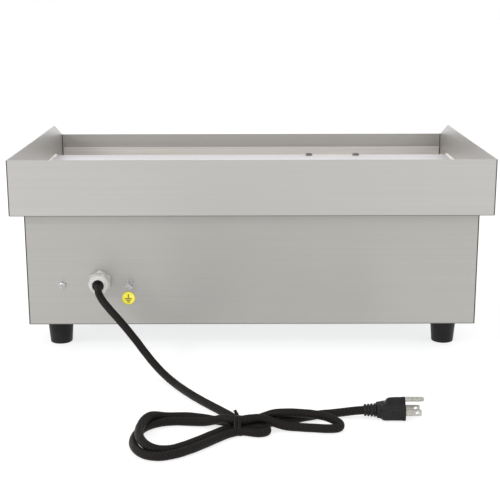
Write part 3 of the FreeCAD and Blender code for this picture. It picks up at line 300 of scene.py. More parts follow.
def row_of_copies_tree():
    """Copies of the incoming shape in a straight row, each a little different."""
    tree, graph, given = geometry_tree("row_of_copies", [
        ("Count", "Int", 12), ("Start", "Vector", (0, 0, 0)), ("End", "Vector", (1, 0, 0)),
        ("Smallest", "Float", 0.9), ("Largest", "Float", 1.1), ("Quarter Turns", "Float", 0.0),
        ("Seed", "Int", 3), ("Finish", "Material", None),
    ])
    line = graph.node("GeometryNodeCurvePrimitiveLine", {"Start": given["Start"], "End": given["End"]})
    points = graph.node("GeometryNodeCurveToPoints", {"Curve": line.outputs[0], "Count": given["Count"]})
    place = graph.node("GeometryNodeInputIndex")
    quarter = graph.math("MULTIPLY", given["Quarter Turns"], math.pi / 2)
    turn = graph.node("ShaderNodeCombineXYZ", {"X": graph.math("MULTIPLY", place.outputs[0], quarter)})
    size = graph.node("FunctionNodeRandomValue", {"Seed": given["Seed"]})
    graph.tree.links.new(given["Smallest"], size.inputs[2])
    graph.tree.links.new(given["Largest"], size.inputs[3])
    copies = graph.node("GeometryNodeInstanceOnPoints", {
        "Points": points.outputs[0], "Instance": given["Geometry"], "Rotation": turn.outputs[0],
        "Scale": size.outputs[1]})
    finish_tree(graph, copies.outputs[0], given["Finish"])
    return tree


def bead_tree():
    """A rounded bead along the incoming mesh line, with a slightly uneven width and height."""
    tree, graph, given = geometry_tree("laid_bead", [
        ("Half Width", "Float", 0.002), ("Pitch", "Float", 0.003), ("Unevenness", "Float", 0.1),
        ("Seed", "Float", 1.0), ("Finish", "Material", None),
    ])
    line = graph.node("GeometryNodeMeshToCurve", {"Mesh": given["Geometry"]})
    fine = graph.node("GeometryNodeResampleCurve", {"Curve": line.outputs[0], "Length": given["Pitch"]},
                      mode="LENGTH")
    wobble = graph.node("ShaderNodeTexNoise", {"W": given["Seed"], "Scale": 90.0, "Detail": 2.0},
                        noise_dimensions="4D")
    uneven = graph.math("MULTIPLY", graph.math("SUBTRACT", wobble.outputs[0], 0.5), given["Unevenness"])
    outline = graph.node("GeometryNodeCurvePrimitiveCircle", {
        "Resolution": 14, "Radius": given["Half Width"]})
    body = graph.node("GeometryNodeCurveToMesh", {
        "Curve": fine.outputs[0], "Profile Curve": outline.outputs[0],
        "Scale": graph.math("ADD", uneven, 1.0), "Fill Caps": True})
    soft = graph.node("GeometryNodeSetShadeSmooth", {"Geometry": body.outputs[0]})
    finish_tree(graph, soft.outputs[0], given["Finish"])
    return tree


def grown(name, seed, tree, values):
    """The mesh that a tree grows from a seed object, as a plain mesh; the seed is removed."""
    modifier = seed.modifiers.new("grow", "NODES")
    modifier.node_group = tree
    for item in tree.interface.items_tree:
        if item.item_type == "SOCKET" and item.in_out == "INPUT" and item.name in values:
            modifier[item.identifier] = values[item.name]
    return plain_mesh(seed, name)


# ---- shader node groups ----
def shader_group(name, inputs, outputs):
    tree = bpy.data.node_groups.new(name, "ShaderNodeTree")
    for label, default in inputs:
        socket = tree.interface.new_socket(label, in_out="INPUT", socket_type="NodeSocketFloat")
        socket.default_value = default
    for label, kind in outputs:
        tree.interface.new_socket(label, in_out="OUTPUT", socket_type="NodeSocket" + kind)
    graph = Graph(tree)
    return tree, graph, graph.node("NodeGroupInput").outputs


def brushed_grain_group():
    """Fine straight lines that run level on upright faces and left to right on flat ones."""
    tree, graph, given = shader_group(
        "brushed_grain", [("Line Length", 0.12), ("Line Width", 0.0006), ("Seed", 0.0)],
        [("Tone", "Float"), ("Height", "Float")])
    place = graph.node("ShaderNodeTexCoord")
    where = graph.node("ShaderNodeSeparateXYZ", {"Vector": place.outputs["Object"]})
    facing = graph.node("ShaderNodeSeparateXYZ", {"Vector": place.outputs["Normal"]})
    sideways = graph.math("GREATER_THAN", graph.math("ABSOLUTE", facing.outputs["X"]), 0.7)
    upward = graph.math("GREATER_THAN", graph.math("ABSOLUTE", facing.outputs["Z"]), 0.7)
    x, y, z = (where.outputs[k] for k in "XYZ")
    along = graph.math("MULTIPLY_ADD", sideways, graph.math("SUBTRACT", y, x), x)
    across = graph.math("MULTIPLY_ADD", upward, graph.math("SUBTRACT", y, z), z)
    lines = []
    for stretch, detail in ((1.0, 4.0), (7.0, 3.0)):
        u = graph.math("DIVIDE", graph.math("DIVIDE", along, given["Line Length"]), stretch)
        v = graph.math("DIVIDE", graph.math("DIVIDE", across, given["Line Width"]), stretch)
        at = graph.node("ShaderNodeCombineXYZ", {"X": u, "Y": v, "Z": given["Seed"]})
        lines.append(graph.node("ShaderNodeTexNoise", {
            "Vector": at.outputs[0], "Scale": 1.0, "Detail": detail, "Roughness": 0.65}).outputs[0])
    tone = graph.math("MULTIPLY_ADD", lines[1], 0.45, graph.math("MULTIPLY", lines[0], 0.55))
    graph.node("NodeGroupOutput", {"Tone": tone, "Height": lines[0]})
    return tree


def worn_edge_group():
    """A mask that is strong along outer edges, for rubbed wear and a painted highlight there, and a normal
    that rounds them.
    """
    tree, graph, given = shader_group(
        "edge_wear_and_highlight", [("Radius", 0.0008), ("Spread", 0.25)], [("Mask", "Float"), ("Normal", "Vector")])
    rounded = graph.node("ShaderNodeBevel", {"Radius": given["Radius"]}, samples=4)
    true_normal = graph.node("ShaderNodeNewGeometry").outputs["Normal"]
    agreement = graph.node("ShaderNodeVectorMath", {0: rounded.outputs[0], 1: true_normal},
                           operation="DOT_PRODUCT")
    turn = graph.math("SUBTRACT", 1.0, agreement.outputs["Value"])
    patches = graph.node("ShaderNodeTexNoise", {
        "Vector": graph.node("ShaderNodeTexCoord").outputs["Object"], "Scale": 220.0, "Detail": 3.0})
    uneven = graph.between(patches.outputs[0], 0.35, 0.65, 0.55, 1.0)
    strong = graph.math("MINIMUM", graph.math("DIVIDE", turn, given["Spread"]), 1.0)
    mask = graph.math("MULTIPLY", strong, uneven)
    graph.node("NodeGroupOutput", {"Mask": mask, "Normal": rounded.outputs[0]})
    return tree


def handled_surface_group():
    """Soft smears left by cleaning, and sparse fine scuffs."""
    tree, graph, given = shader_group(
        "handled_surface", [("Patch Size", 0.08), ("Scuff Size", 0.006)],
        [("Smear", "Float"), ("Scuff", "Float")])
    place = graph.node("ShaderNodeTexCoord").outputs["Object"]
    smear = graph.node("ShaderNodeTexNoise", {
        "Vector": graph.sized(place, given["Patch Size"]), "Scale": 1.0, "Detail": 5.0, "Roughness": 0.55,
        "Distortion": 0.6})
    marks = graph.node("ShaderNodeTexNoise", {
        "Vector": graph.sized(place, given["Scuff Size"]), "Scale": 1.0, "Detail": 6.0, "Roughness": 0.7,
        "Distortion": 2.0})
    scuff = graph.between(marks.outputs[0], 0.62, 0.72)
    graph.node("NodeGroupOutput", {"Smear": graph.between(smear.outputs[0], 0.3, 0.7), "Scuff": scuff})
    return tree


def moulded_skin_group():
    """The fine pebbled skin of a moulded part, with a faint change of tone."""
    tree, graph, given = shader_group(
        "moulded_skin", [("Grain Size", 0.0006)], [("Height", "Float"), ("Tone", "Float")])
    place = graph.node("ShaderNodeTexCoord").outputs["Object"]
    pebbles = graph.node("ShaderNodeTexNoise", {
        "Vector": graph.sized(place, given["Grain Size"]), "Scale": 1.0, "Detail": 3.0, "Roughness": 0.6})
    tone = graph.node("ShaderNodeTexNoise", {"Vector": place, "Scale": 60.0, "Detail": 4.0})
    graph.node("NodeGroupOutput", {"Height": pebbles.outputs[0], "Tone": tone.outputs[0]})
    return tree


def folded_edge_group():
    """Painted shade at sheet metal bends: it darkens upright bends, the rolled lower edge, and a soft line
    at two heights, in place of the dark reflections in the bends and the shadow under an overhanging edge.
    """
    tree, graph, given = shader_group(
        "painted_fold_shade", [("Bottom", 0.0), ("Top", 1.0), ("Line Width", 0.0015)], [("Mask", "Float")])
    place = graph.node("ShaderNodeTexCoord")
    facing = graph.node("ShaderNodeSeparateXYZ", {"Vector": place.outputs["Normal"]})
    height = graph.node("ShaderNodeSeparateXYZ", {"Vector": place.outputs["Object"]}).outputs["Z"]
    bend = graph.math("ABSOLUTE", graph.math("MULTIPLY", facing.outputs["X"], facing.outputs["Y"]))
    bend = graph.between(bend, 0.06, 0.24)
    rolled = graph.math("MULTIPLY", facing.outputs["Z"], -1.0)
    rolled = graph.math("MULTIPLY", graph.between(rolled, 0.10, 0.45), graph.between(rolled, 0.98, 0.90))
    above = graph.math("SUBTRACT", height, given["Bottom"])
    below = graph.math("SUBTRACT", given["Top"], height)
    nearest = graph.math("MINIMUM", above, below)
    lines = graph.math("SUBTRACT", 1.0, graph.math("DIVIDE", nearest, given["Line Width"]))
    lines = graph.math("MINIMUM", graph.math("MAXIMUM", lines, 0.0), 1.0)
    mask = graph.math("MAXIMUM", graph.math("MAXIMUM", bend, rolled), lines)
    graph.node("NodeGroupOutput", {"Mask": mask})
    return tree


BRUSHED_GRAIN = brushed_grain_group()
PAINTED_FOLD_SHADE = folded_edge_group()
EDGE_WEAR_AND_HIGHLIGHT = worn_edge_group()
HANDLED_SURFACE = handled_surface_group()
MOULDED_SKIN = moulded_skin_group()


# ---- materials ----
def colour(r, g, b):
    """A colour given as it looks on a screen, 0 to 255."""
    return tuple(((c / 255) / 12.92 if c / 255 <= 0.04045 else ((c / 255 + 0.055) / 1.055) ** 2.4)
                 for c in (r, g, b)) + (1.0,)


def surface(name, **settings):
    """A new material with one Principled shader, its graph and a helper that places a shared group."""
    material = bpy.data.materials.new(name)
    material.use_nodes = True
    graph = Graph(material.node_tree)
    shader = material.node_tree.nodes["Principled BSDF"]
    for key, value in settings.items():
        shader.inputs[key.replace("_", " ")].default_value = value

    def place_group(tree, **values):
        made = graph.node("ShaderNodeGroup", node_tree=tree)
        for key, value in values.items():
            made.inputs[key.replace("_", " ")].default_value = value
        return made.outputs

    return material, graph, shader, place_group


def plug_in(graph, shader, base, roughness, height, depth, normal=None):
    """Feeds the shader's colour, roughness, where it varies, and bump."""
    graph.tree.links.new(base, shader.inputs["Base Color"])
    if roughness is not None:
        graph.tree.links.new(roughness, shader.inputs["Roughness"])
    bump = graph.node("ShaderNodeBump", {"Height": height, "Distance": depth, "Strength": 1.0})
    if normal is not None:
        graph.tree.links.new(normal, bump.inputs["Normal"])
    graph.tree.links.new(bump.outputs[0], shader.inputs["Normal"])


def brushed_steel(name, dark, light, rough=(0.30, 0.42), line=(0.10, 0.00035), seed=0.0, metallic=0.95,
                  fold_shade=None):
    """Level brushed sheet; fold_shade gives the lower and upper edge of its painted shade lines, their
    line's width and the shade's strength.
    """
    material, graph, shader, place_group = surface(name, Metallic=metallic, Anisotropic=0.7,
                                                   Anisotropic_Rotation=0.25)
    level = graph.node("ShaderNodeTangent", direction_type="RADIAL", axis="Z")
    graph.tree.links.new(level.outputs[0], shader.inputs["Tangent"])
    grain = place_group(BRUSHED_GRAIN, Line_Length=line[0], Line_Width=line[1], Seed=seed)
    wear_and_highlight = place_group(EDGE_WEAR_AND_HIGHLIGHT, Radius=0.0007, Spread=0.3)
    handled = place_group(HANDLED_SURFACE, Patch_Size=0.11, Scuff_Size=0.008)
    tone = graph.between(grain["Tone"], 0.36, 0.64)
    base = graph.mix(tone, colour(*dark), colour(*light))
    # painted highlight: the sheet is lighter along its edges
    base = graph.tinted(base, wear_and_highlight["Mask"], 0.35, (240, 240, 238))
    if fold_shade:
        bottom, top, width, strength = fold_shade
        fold = place_group(PAINTED_FOLD_SHADE, Bottom=bottom, Top=top, Line_Width=width)
        # painted shade: darkens the bends, the rolled lower edge and the lines at the given heights
        base = graph.tinted(base, fold["Mask"], strength, (16, 14, 12))
    smeared = graph.math("MULTIPLY_ADD", handled["Smear"], 0.35, graph.math("MULTIPLY", tone, 0.65))
    roughness = graph.between(smeared, 0.0, 1.0, *rough)
    roughness = graph.math("MULTIPLY_ADD", handled["Scuff"], 0.06, roughness)
    plug_in(graph, shader, base, roughness, grain["Height"], 0.00002, wear_and_highlight["Normal"])
    return material


def polished_plate():
    """Ground cooking steel: bright, with fine cross-grinding and a faint straw tint in soft patches."""
    material, graph, shader, place_group = surface("ground_plate_steel", Metallic=0.9)
    grain = place_group(BRUSHED_GRAIN, Line_Length=0.25, Line_Width=0.0004, Seed=4.0)
    wear_and_highlight = place_group(EDGE_WEAR_AND_HIGHLIGHT, Radius=0.0012, Spread=0.3)
    handled = place_group(HANDLED_SURFACE, Patch_Size=0.16, Scuff_Size=0.012)
    tone = graph.between(grain["Tone"], 0.36, 0.64)
    base = graph.mix(tone, colour(214, 213, 216), colour(232, 231, 234))
    base = graph.tinted(base, handled["Smear"], 0.30, (186, 176, 164))
    # painted highlight: the plate is lighter along its edges
    base = graph.tinted(base, wear_and_highlight["Mask"], 0.5, (246, 246, 246))
    roughness = graph.between(handled["Smear"], 0.0, 1.0, 0.34, 0.44)
    roughness = graph.math("MULTIPLY_ADD", handled["Scuff"], 0.10, roughness)
    plug_in(graph, shader, base, roughness, grain["Height"], 0.000015, wear_and_highlight["Normal"])
    return material


def galvanised_sheet():
    """Zinc-coated sheet with its crystal spangle."""
    material, graph, shader, place_group = surface("galvanised_sheet", Metallic=0.85)
    place = graph.node("ShaderNodeTexCoord").outputs["Object"]
    spangle = graph.node("ShaderNodeTexVoronoi", {"Vector": place, "Scale": 95.0, "Randomness": 1.0})
    value = graph.node("ShaderNodeSeparateColor", {"Color": spangle.outputs["Color"]}).outputs[0]
    wear_and_highlight = place_group(EDGE_WEAR_AND_HIGHLIGHT, Radius=0.0006, Spread=0.3)
    base = graph.mix(value, colour(142, 146, 150), colour(186, 190, 194))
    # painted highlight: the sheet is lighter along its edges
    base = graph.tinted(base, wear_and_highlight["Mask"], 0.5, (214, 216, 220))
    plug_in(graph, shader, base, graph.between(value, 0.0, 1.0, 0.34, 0.52), value, 0.00002, wear_and_highlight["Normal"])
    return material


def machined_metal(name, dark, light, roughness=(0.25, 0.42)):
    """Turned or rolled metal for fasteners and fittings, with dull and bright patches at random and a
    painted highlight on the edges.
    """
    material, graph, shader, place_group = surface(name, Metallic=0.95)
    skin = place_group(MOULDED_SKIN, Grain_Size=0.0004)
    wear_and_highlight = place_group(EDGE_WEAR_AND_HIGHLIGHT, Radius=0.0003, Spread=0.3)
    handled = place_group(HANDLED_SURFACE, Patch_Size=0.003, Scuff_Size=0.0015)
    base = graph.mix(handled["Smear"], colour(*dark), colour(*light))
    # painted highlight: the metal is lighter on its edges
    base = graph.tinted(base, wear_and_highlight["Mask"], 0.6, (235, 235, 232))
    rough = graph.between(handled["Smear"], 0.0, 1.0, *roughness)
    plug_in(graph, shader, base, rough, skin["Height"], 0.00001, wear_and_highlight["Normal"])
    return material


def moulded(name, dark, light, rough=(0.42, 0.58), grain=0.0006, depth=0.00002, edge=None, **settings):
    """Moulded plastic, rubber or nylon with a fine skin and slightly rubbed edges."""
    material, graph, shader, place_group = surface(name, **settings)
    skin = place_group(MOULDED_SKIN, Grain_Size=grain)
    wear_and_highlight = place_group(EDGE_WEAR_AND_HIGHLIGHT, Radius=0.0005, Spread=0.4)
    handled = place_group(HANDLED_SURFACE, Patch_Size=0.02, Scuff_Size=0.003)
    base = graph.mix(graph.between(skin["Tone"], 0.35, 0.65), colour(*dark), colour(*light))
    if edge:
        base = graph.tinted(base, wear_and_highlight["Mask"], 0.45, edge)
    rough_value = graph.between(handled["Smear"], 0.0, 1.0, *rough)
    plug_in(graph, shader, base, rough_value, skin["Height"], depth, wear_and_highlight["Normal"])
    return material


def fibre_blanket():
    """Soft ceramic fibre, uneven and matt."""
    material, graph, shader, place_group = surface("mineral_fibre", Roughness=0.95)
    skin = place_group(MOULDED_SKIN, Grain_Size=0.0022)
    handled = place_group(HANDLED_SURFACE, Patch_Size=0.03, Scuff_Size=0.004)
    base = graph.mix(handled["Smear"], colour(214, 204, 176), colour(236, 230, 210))
    plug_in(graph, shader, base, None, skin["Height"], 0.0008)
    return material


def heating_sheath():
    """The element's sheath, dull and heat-tinted."""
    material, graph, shader, place_group = surface("element_sheath", Metallic=0.7)
    handled = place_group(HANDLED_SURFACE, Patch_Size=0.04, Scuff_Size=0.003)
    skin = place_group(MOULDED_SKIN, Grain_Size=0.0008)
    base = graph.mix(handled["Smear"], colour(74, 66, 62), colour(112, 98, 84))
    plug_in(graph, shader, base, graph.between(handled["Smear"], 0, 1, 0.5, 0.65), skin["Height"], 0.00003)
    return material


def striped_earth_wire():
    """Green insulation with a yellow stripe down its length."""
    material, graph, shader, place_group = surface("earth_wire_jacket", Roughness=0.45)
    place = graph.node("ShaderNodeTexCoord")
    facing = graph.node("ShaderNodeSeparateXYZ", {"Vector": place.outputs["Normal"]})
    skin = place_group(MOULDED_SKIN, Grain_Size=0.0005)
    stripe = graph.math("GREATER_THAN", facing.outputs["Z"], 0.35)
    base = graph.mix(stripe, colour(40, 120, 58), colour(222, 202, 52))
    plug_in(graph, shader, base, None, skin["Height"], 0.00001)
    return material


def lamp_lens(name, deep, bright):
    """A tinted clear lens with fine ribs moulded inside."""
    material, graph, shader, place_group = surface(
        name, Roughness=0.12, Transmission_Weight=0.35, IOR=1.49, Coat_Weight=0.4)
    place = graph.node("ShaderNodeTexCoord").outputs["Object"]
    ribs = graph.node("ShaderNodeTexWave", {"Vector": place, "Scale": 260.0, "Distortion": 0.0},
                      bands_direction="X")
    skin = place_group(MOULDED_SKIN, Grain_Size=0.002)
    base = graph.mix(ribs.outputs["Fac"], colour(*deep), colour(*bright))
    plug_in(graph, shader, base, None, skin["Height"], 0.00002)
    return material


def cord_jacket():
    """Black rubber jacket: the pattern follows the cord through its own UV map, in metres."""
    material, graph, shader, place_group = surface("cord_jacket", Specular_IOR_Level=0.12)
    lay = graph.node("ShaderNodeUVMap", uv_map="lay").outputs[0]
    parts = graph.node("ShaderNodeSeparateXYZ", {"Vector": lay})
    around, along = parts.outputs["X"], parts.outputs["Y"]
    slanted = graph.math("MULTIPLY_ADD", around, 3.0, graph.math("MULTIPLY", along, 420.0))
    cloth = graph.math("SINE", graph.math("MULTIPLY", slanted, 2 * math.pi))
    crossing = graph.math("MULTIPLY_ADD", around, -5.0, graph.math("MULTIPLY", along, 310.0))
    cross = graph.math("SINE", graph.math("MULTIPLY", crossing, 2 * math.pi))
    skin = place_group(MOULDED_SKIN, Grain_Size=0.0007)
    handled = place_group(HANDLED_SURFACE, Patch_Size=0.02, Scuff_Size=0.003)
    height = graph.math("MULTIPLY_ADD", cross, 0.16, skin["Height"])
    height = graph.math("MULTIPLY_ADD", cloth, 0.30, height)
    # lighter on the ridges and darker in the grooves of the lay: painted sheen and painted shade
    tone = graph.between(height, -0.1, 1.1)
    base = graph.mix(tone, colour(6, 5, 4), colour(34, 30, 27))
    base = graph.tinted(base, handled["Scuff"], 0.25, (70, 66, 63))
    rough = graph.between(handled["Smear"], 0, 1, 0.42, 0.6)
    plug_in(graph, shader, base, rough, height, 0.00020)
    return material


def bonding_yellow(centre, radius):
    """A printed yellow disc with a darker rim."""
    material, graph, shader, place_group = surface("bonding_disc_yellow", Roughness=0.42)
    moved = graph.node("ShaderNodeMapping", {
        "Vector": graph.node("ShaderNodeTexCoord").outputs["Object"],
        "Location": tuple(-c for c in centre)})
    parts = graph.node("ShaderNodeSeparateXYZ", {"Vector": moved.outputs[0]})
    flat = graph.node("ShaderNodeCombineXYZ", {"X": parts.outputs["X"], "Y": parts.outputs["Z"]})
    reach = graph.node("ShaderNodeVectorMath", {0: flat.outputs[0]}, operation="LENGTH").outputs["Value"]
    skin = place_group(MOULDED_SKIN, Grain_Size=0.0008)
    base = graph.mix(graph.between(skin["Tone"], 0.35, 0.65), colour(226, 214, 62), colour(240, 230, 92))
    rim = graph.between(reach, radius * 0.84, radius * 0.97)
    base = graph.mix(rim, base, colour(176, 164, 60))
    plug_in(graph, shader, base, None, skin["Height"], 0.00001)
    return material


NO_SHADE_LINE = 9.0                   # above the whole griddle, where no painted shade line is drawn

MATERIALS = {
    # fold_shade: painted shade along the hood's and cabinet's bends and lower edges; the cabinet's top line
    # is a painted shadow under the hood's lower edge
    "hood": brushed_steel("brushed_stainless_hood", (178, 176, 173), (185, 183, 180), seed=1.0,
                          metallic=0.82, fold_shade=(HOOD_LOW.z, NO_SHADE_LINE, 0.0009, 0.85)),
    # the cabinet's steel is set a little darker than the hood's: painted shade
    "cabinet": brushed_steel("brushed_stainless_cabinet", (167, 165, 161), (175, 173, 169), seed=2.0,
                             metallic=0.80, fold_shade=(CABINET_LOW.z, CABINET_HIGH.z - 0.0004, 0.0013, 0.90)),
    "front": brushed_steel("brushed_stainless_front", (180, 178, 174), (190, 188, 184), seed=3.0),
    # the trough's steel is set lighter than the other stainless: painted light
    "trough": brushed_steel("stainless_trough", (206, 201, 197), (222, 218, 214), rough=(0.34, 0.46),
                            seed=5.0, metallic=0.55),
    "plate": polished_plate(),
    "galvanised": galvanised_sheet(),
    "screw": machined_metal("screw_steel", (150, 150, 148), (196, 196, 194)),
    # the chute screws' steel is set darker than the other screws: painted shade
    "shaded_screw": machined_metal("shaded_screw_steel", (84, 84, 84), (132, 131, 128)),
    "stud": machined_metal("stud_steel", (150, 148, 150), (214, 212, 212)),
    "element": heating_sheath(),
    "blanket": fibre_blanket(),
    "seal": moulded("pale_seal", (214, 208, 200), (238, 233, 226), rough=(0.25, 0.4), grain=0.003,
                    depth=0.00004, Subsurface_Weight=0.1, Subsurface_Scale=0.002),
    "foot": moulded("foot_rubber", (10, 10, 9), (22, 22, 21), rough=(0.36, 0.55), grain=0.0008,
                    depth=0.00004, edge=(58, 58, 57), Specular_IOR_Level=0.25),
    "cord": cord_jacket(),
    "cord_cad": moulded("cord_inner_rubber", (26, 25, 24), (44, 43, 41)),
    "plug": moulded("plug_vinyl", (16, 16, 16), (28, 28, 28), rough=(0.34, 0.5), grain=0.0007,
                    depth=0.00003, edge=(88, 88, 88), Specular_IOR_Level=0.20),
    "tie": moulded("tie_plastic", (8, 8, 8), (16, 15, 15), rough=(0.36, 0.5), edge=(60, 58, 56),
                   Specular_IOR_Level=0.18),
    "prong": machined_metal("nickel_prongs", (150, 148, 142), (196, 194, 187), roughness=(0.16, 0.3)),
    "gland": moulded("gland_nylon", (190, 188, 185), (208, 206, 203), rough=(0.28, 0.42), grain=0.0009,
                     Subsurface_Weight=0.15, Subsurface_Scale=0.003),
    "gland_seal": moulded("gland_seal_rubber", (20, 20, 20), (32, 32, 31)),
    "knob": moulded("knob_plastic", (22, 22, 23), (34, 34, 35), rough=(0.28, 0.42), grain=0.0005,
                    edge=(84, 84, 86)),
    "ink_white": moulded("printed_white", (226, 226, 224), (240, 240, 238), rough=(0.4, 0.5)),
    "ink_black": moulded("printed_black", (24, 24, 26), (34, 34, 36), rough=(0.4, 0.5)),
    "ink_olive": moulded("printed_olive", (120, 112, 24), (140, 130, 34), rough=(0.4, 0.5)),
    "dial": brushed_steel("dial_aluminium", (196, 198, 202), (222, 224, 228), rough=(0.3, 0.4),
                          line=(0.03, 0.0002), seed=9.0),
    "green_lens": lamp_lens("lamp_green", (10, 96, 48), (52, 190, 96)),
    "amber_lens": lamp_lens("lamp_amber", (176, 82, 8), (246, 160, 36)),
    "lamp_body": moulded("lamp_nylon", (206, 204, 196), (228, 226, 218)),
    "thermostat": moulded("thermostat_case", (178, 172, 158), (206, 200, 186), rough=(0.5, 0.65)),
    "ceramic": moulded("glazed_ceramic", (226, 222, 212), (242, 239, 231), rough=(0.15, 0.28),
                       Coat_Weight=0.5),
    "wire": moulded("brown_wire_jacket", (88, 54, 34), (120, 74, 46), rough=(0.35, 0.5)),
    "earth": striped_earth_wire(),
    "copper": machined_metal("copper_tube", (158, 92, 62), (204, 132, 96), roughness=(0.25, 0.4)),
}


# ---- which finish each CAD node takes ----
DISC_LOW, DISC_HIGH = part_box("bonding_disc")
DISC_CENTRE = (DISC_LOW + DISC_HIGH) / 2
DISC_R = (DISC_HIGH.x - DISC_LOW.x) / 2
MATERIALS["disc"] = bonding_yellow(DISC_CENTRE, DISC_R)

FINISHES = {
    "hood": ["hood"],
    "cabinet": ["cabinet_wrap"],
    "front": ["front_panel", "drawer_tray", "drawer_front", "drawer_handle"],
    "trough": ["grease_trough", "drain_spout", "grease_chute"],
    "plate": ["griddle_plate"],
    "galvanised": ["plate_support_frame", "base_panel", "element_clamps", "heat_shield",
                   "drawer_guide_left", "drawer_guide_right"],
    "screw": ["base_screws", "front_panel_screws", "hood_screws", "foot_screws", "thermostat_screws",
              "handle_screws", "clamp_studs", "thermostat_shaft"],
    "shaded_screw": ["chute_screws"],
    "stud": ["bonding_stud", "back_screw"],
    "element": ["heating_element_rear", "heating_element_front"],
    "blanket": ["insulation_blanket"],
    "thermostat": ["thermostat_body", "limit_cutout"],
    "copper": ["bulb_and_capillary"],
    "knob": ["control_knob"],
    "dial": ["dial_plate"],
    "green_lens": ["power_lamp_lens"],
    "amber_lens": ["heating_lamp_lens"],
    "lamp_body": ["lamp_bodies"],
    "ceramic": ["terminal_block"],
    "wire": ["power_wires"],
    "earth": ["earth_wire"],
    "gland": ["gland_body", "gland_locknut"],
    "gland_seal": ["gland_seal"],
    "disc": ["bonding_disc"],
    "cord_cad": ["cord_inner"],
    "prong": ["plug_prongs"],
    "foot": ["foot_rear_left", "foot_rear_right", "foot_front_left", "foot_front_right"],
}


def paint_cad_nodes():
    for finish, names in FINISHES.items():
        for name in names:
            for material_slot in NODES[name].material_slots:
                material_slot.material = MATERIALS[finish]


def dress(obj, finish):
    """Gives a new piece its finish."""
    obj.data.materials.clear()
    obj.data.materials.append(MATERIALS[finish])
    return obj


def ride(obj, body="root", replaces=()):
    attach(obj, body)
    if replaces:
        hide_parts(*replaces)
    return obj


# ---- mains lead ----
CORD_R = 0.0043
LAY_PITCH = 0.052               # one turn of the three cores under the jacket
# from the gland down to the tie: (x, behind the hood, height)
LEAD_ROUTE = [
    (0.1763, 0.002, 0.0863), (0.174, 0.024, 0.084), (0.164, 0.04, 0.075), (0.147, 0.0515, 0.06),
    (0.1295, 0.0595, 0.041), (0.1145, 0.068, 0.023), (0.0995, 0.0805, 0.01), (0.085, 0.099, 0.0044),
    (0.0695, 0.127, 0.0046), (0.052, 0.153, 0.0044), (0.034, 0.177, 0.0044),
]
RIGHT_LOOP = [
    (0.024, 0.1905, 0.0044), (0.0175, 0.2, 0.0044), (0.0105, 0.2047, 0.0044), (0.003, 0.2046, 0.0044),
    (-0.0045, 0.2043, 0.0054), (-0.012, 0.2046, 0.0086), (-0.02, 0.206, 0.012),
    (-0.029, 0.2072, 0.0134), (-0.04, 0.2075, 0.0134), (-0.051, 0.2083, 0.013),
    (-0.061, 0.2096, 0.0124), (-0.069, 0.2106, 0.0112), (-0.0757, 0.2116, 0.0092),
    (-0.0813, 0.2133, 0.0072), (-0.085, 0.2168, 0.0056), (-0.085, 0.222, 0.0046),
    (-0.0811, 0.2254, 0.0044), (-0.075, 0.2262, 0.0044), (-0.067, 0.2254, 0.0044),
    (-0.058, 0.2241, 0.0044), (-0.046, 0.2222, 0.0044), (-0.035, 0.2205, 0.0044),
    (-0.026, 0.22, 0.0062), (-0.017, 0.219, 0.0098), (-0.008, 0.2182, 0.0124), (0.002, 0.2215, 0.0132),
    (0.014, 0.2252, 0.0124),
]
LEFT_OUTER_LOOP = [
    (0.021, 0.2237, 0.0132), (0.0295, 0.219, 0.0122), (0.038, 0.214, 0.008), (0.048, 0.21, 0.0048),
    (0.062, 0.2075, 0.0044), (0.08, 0.206, 0.0044), (0.096, 0.212, 0.0044), (0.106, 0.224, 0.0044),
    (0.1115, 0.241, 0.0044), (0.112, 0.259, 0.0044), (0.107, 0.275, 0.0044), (0.097, 0.2865, 0.0044),
    (0.084, 0.2895, 0.0044), (0.069, 0.283, 0.0044), (0.054, 0.2705, 0.0044), (0.039, 0.2545, 0.0044),
    (0.026, 0.2395, 0.0044), (0.014, 0.2312, 0.0044),
]
FOLD = [
    (0.005, 0.2325, 0.0044), (-0.0015, 0.235, 0.0044), (-0.008, 0.2362, 0.0044),
    (-0.0135, 0.233, 0.0044), (-0.0142, 0.2272, 0.0044), (-0.0095, 0.2225, 0.0044),
    (-0.002, 0.2212, 0.0044), (0.006, 0.2216, 0.0044),
]
LEFT_INNER_LOOP = [
    (0.016, 0.2225, 0.0044), (0.026, 0.2272, 0.0044), (0.0375, 0.2392, 0.0044),
    (0.049, 0.2515, 0.0044), (0.061, 0.2635, 0.0044), (0.075, 0.2755, 0.0048), (0.088, 0.2815, 0.0076),
    (0.098, 0.2785, 0.0108), (0.105, 0.266, 0.0131), (0.107, 0.25, 0.0132), (0.1062, 0.236, 0.0132),
    (0.104, 0.2235, 0.0134), (0.0995, 0.212, 0.0128), (0.0925, 0.2025, 0.0086), (0.083, 0.1968, 0.005),
    (0.071, 0.194, 0.0044), (0.06, 0.195, 0.0044), (0.047, 0.1995, 0.0044), (0.034, 0.2055, 0.0044),
    (0.024, 0.21, 0.0044), (0.014, 0.2131, 0.0044),
]
TAIL_ROUTE = [
    (0.003, 0.2133, 0.0044), (-0.009, 0.2127, 0.0044), (-0.02, 0.2103, 0.0044),
    (-0.031, 0.2065, 0.0044), (-0.042, 0.2015, 0.0044), (-0.055, 0.1955, 0.0044),
    (-0.068, 0.19, 0.0046), (-0.084, 0.188, 0.005), (-0.098, 0.1873, 0.0068), (-0.114, 0.1882, 0.0085),
]
# where the strands pass through the tie: (behind the hood, height)
WAIST = [(0.2047, 0.0044), (0.2133, 0.0044), (0.2219, 0.0044), (0.2310, 0.0044), (0.2250, 0.0124)]
TIE_X = 0.014


